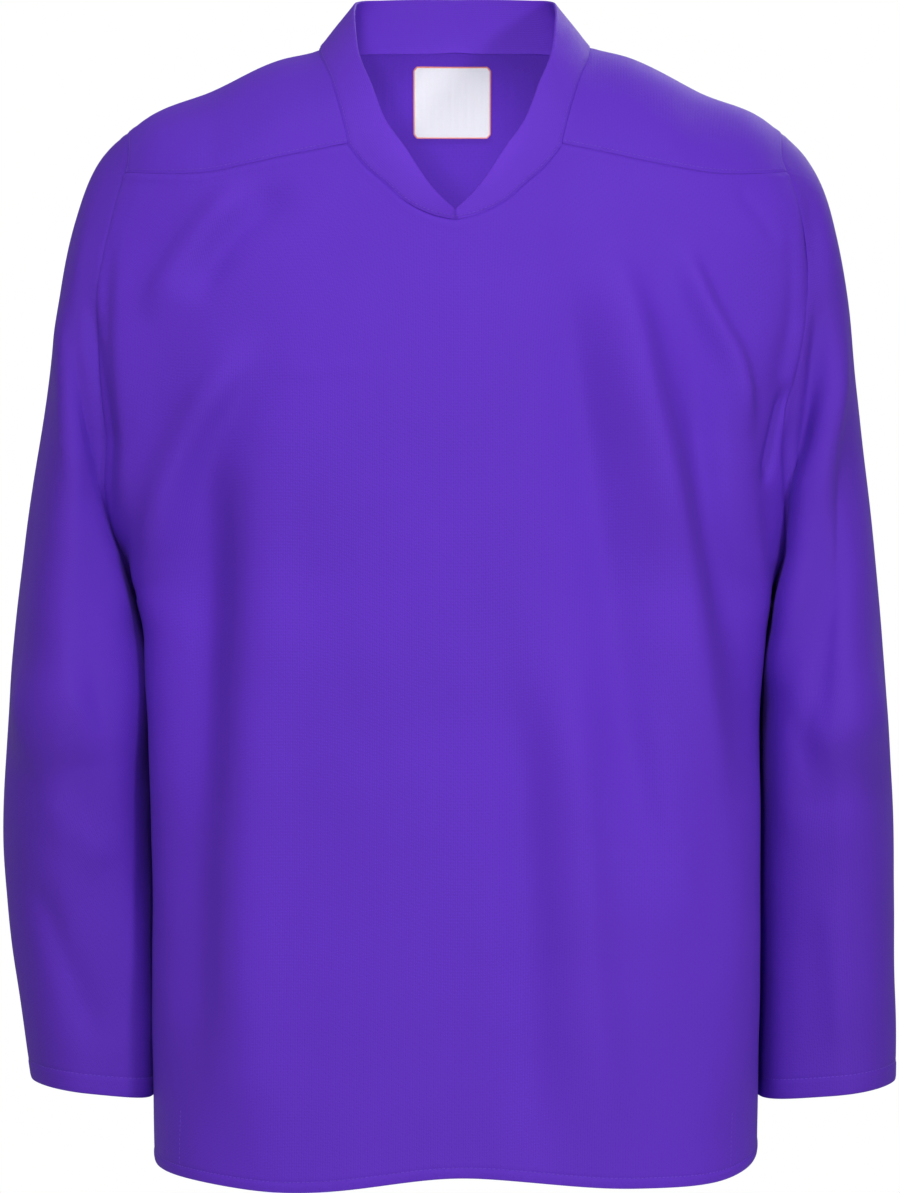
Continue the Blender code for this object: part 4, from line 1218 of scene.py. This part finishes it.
def threadLoop(name, path):
    # a closed thread along a path, with the wraps of an overcast edge
    run = runAlong(np.concatenate((path, path[:1])))
    at = np.linspace(0.0, run[-1], int(round(run[-1] / edgeThread["step"])) + 1)[:-1]
    path = pointAt(run, np.concatenate((path, path[:1])), at)
    ahead = unit(np.roll(path, -1, axis=0) - np.roll(path, 1, axis=0))
    side = unit(np.cross(ahead, np.array([0.0, 1.0, 0.02])))
    up = np.cross(side, ahead)
    sides = edgeThread["sides"]
    turn = np.linspace(0.0, 2 * math.pi, sides, endpoint=False)[None, :, None]
    wrap = np.sin(2 * math.pi * runAlong(path) / edgeThread["wrapStep"])
    width = edgeThread["radius"] * (1 + edgeThread["wrap"] * wrap)[:, None, None]
    rings = path[:, None] + width * (side[:, None] * np.cos(turn) + up[:, None] * np.sin(turn))
    return makeMesh(name, rings, gridFaces(len(path), sides, True, True).tolist())


def buildLabel():
    points = labelGrid()
    away = np.array([0.0, labelLook["thickness"], 0.0])
    flipped = points[:, ::-1]
    mesh = shellMesh("neck_label_cloth", flipped, flipped + away, flipped[..., (0, 2)] * mm,
                     False, False, False)
    addCloth("neck_label", mesh, labelMaterial())
    outline = np.concatenate((points[0, :-1], points[:-1, -1], points[-1, :0:-1], points[:0:-1, 0]))
    rim = threadLoop("label_edge", outline + away / 2)
    addPiece("label_edge", rim, threads["salmon"])


buildLabel()
print("neck label sewn in")

# ---- stitching

stitchLook = {
    # panels, edge, distance from it in mm, pitch, length, thread radius
    "rows": (
        (("front", "back"), "bottom", 6.1, 3.0, 2.3, 0.20),
        (("sleeve_right", "sleeve_left"), "top", 12.5, 3.0, 2.3, 0.20),
        (("yoke",), "left", 2.6, 2.9, 2.2, 0.20),
        (("yoke",), "right", 2.6, 2.9, 2.2, 0.20),
        (("yoke",), "top", 2.6, 2.9, 2.2, 0.20),
        (("collar",), "bottom", 2.2, 2.8, 2.1, 0.19),
    ),
    # one bead of thread a stitch: arched, with its ends drawn into the cloth
    "stations": (-0.5, -0.3, 0.0, 0.3, 0.5),
    "arch": (-0.9, 0.35, 0.75, 0.35, -0.9),
    "girth": (0.45, 0.95, 1.0, 0.95, 0.45),
    "sides": 6,
    "tackX": 184.0,
    "tackHeights": (6.5, 46.0),
    "tack": (3.0, 2.2, 0.20),
}


def insetLine(name, edge, distance):
    # the line on a panel's outer surface at a distance from one of its edges, with its normals
    axis = edgeAxis[edge][0]
    away = np.moveaxis(edgeDistance(folded[name], edge), axis, 0)
    outer, _, normals = (np.moveaxis(points, axis, 0) for points in surfaces[name])
    spots = []
    facing = []
    for k in range(away.shape[1]):
        order = np.argsort(away[:, k])
        spots.append(pointAt(away[order, k], outer[order, k], distance))
        facing.append(pointAt(away[order, k], normals[order, k], distance))
    return np.array(spots), unit(np.array(facing))


def stitchRow(points, normals, pitch, length, radius, closed=False):
    if closed:
        points = np.concatenate((points, points[:1]))
        normals = np.concatenate((normals, normals[:1]))
    run = runAlong(points)
    count = max(1, int(run[-1] / pitch))
    centres = (np.arange(count) + 0.5) * run[-1] / count
    at = centres[:, None] + np.array(stitchLook["stations"]) * length
    spot = pointAt(run, points, at)
    up = unit(pointAt(run, normals, at))
    ahead = unit(spot[:, -1:] - spot[:, :1]) + np.zeros_like(spot)
    side = unit(np.cross(ahead, up))
    sides = stitchLook["sides"]
    turn = np.linspace(0.0, 2 * math.pi, sides, endpoint=False)[:, None]
    ring = side[:, :, None] * np.cos(turn) + up[:, :, None] * np.sin(turn)
    middle = spot + up * (np.array(stitchLook["arch"]) * radius)[:, None]
    girth = np.array(stitchLook["girth"]) * radius
    bead = middle[:, :, None] + ring * girth[:, None, None]
    stations = len(girth)
    size = stations * sides
    faces = gridFaces(stations, sides, False, True).tolist()
    faces += [list(range(sides))[::-1], list(range(size - sides, size))]
    return bead.reshape(-1, 3), [[k + base for k in face] for base in range(0, count * size, size)
                                 for face in faces]


def joinRows(name, rows):
    faces = []
    total = 0
    for points, rowFaces in rows:
        faces += [[k + total for k in face] for face in rowFaces]
        total += len(points)
    return makeMesh(name, np.concatenate([points for points, _ in rows]), faces)


def sideTacks(name):
    # the side seam's allowance is tacked down inside the hem: an upright row of stitches
    outer, _, normals = surfaces[name]
    low, high = stitchLook["tackHeights"]
    rows = []
    for side in (-1, 1):
        column = np.argmin(np.abs(outer[0, :, 0] - side * stitchLook["tackX"]))
        height = runAlong(outer[:, column])
        inSpan = (height > low) & (height < high)
        rows.append(stitchRow(outer[inSpan, column], normals[inSpan, column], *stitchLook["tack"]))
    return rows


def buildStitches():
    byPanel = {"front": sideTacks("front")}
    for panels, edge, distance, *thread in stitchLook["rows"]:
        for panel in panels:
            row = stitchRow(*insetLine(panel, edge, distance), *thread, isTube(panel))
            byPanel.setdefault(panel, []).append(row)
    for panel, rows in byPanel.items():
        mesh = joinRows(panel + "_stitches", rows)
        addPiece(panel + "_stitches", mesh, threads["purple"])
        print("stitches", panel, len(mesh.polygons))


buildStitches()
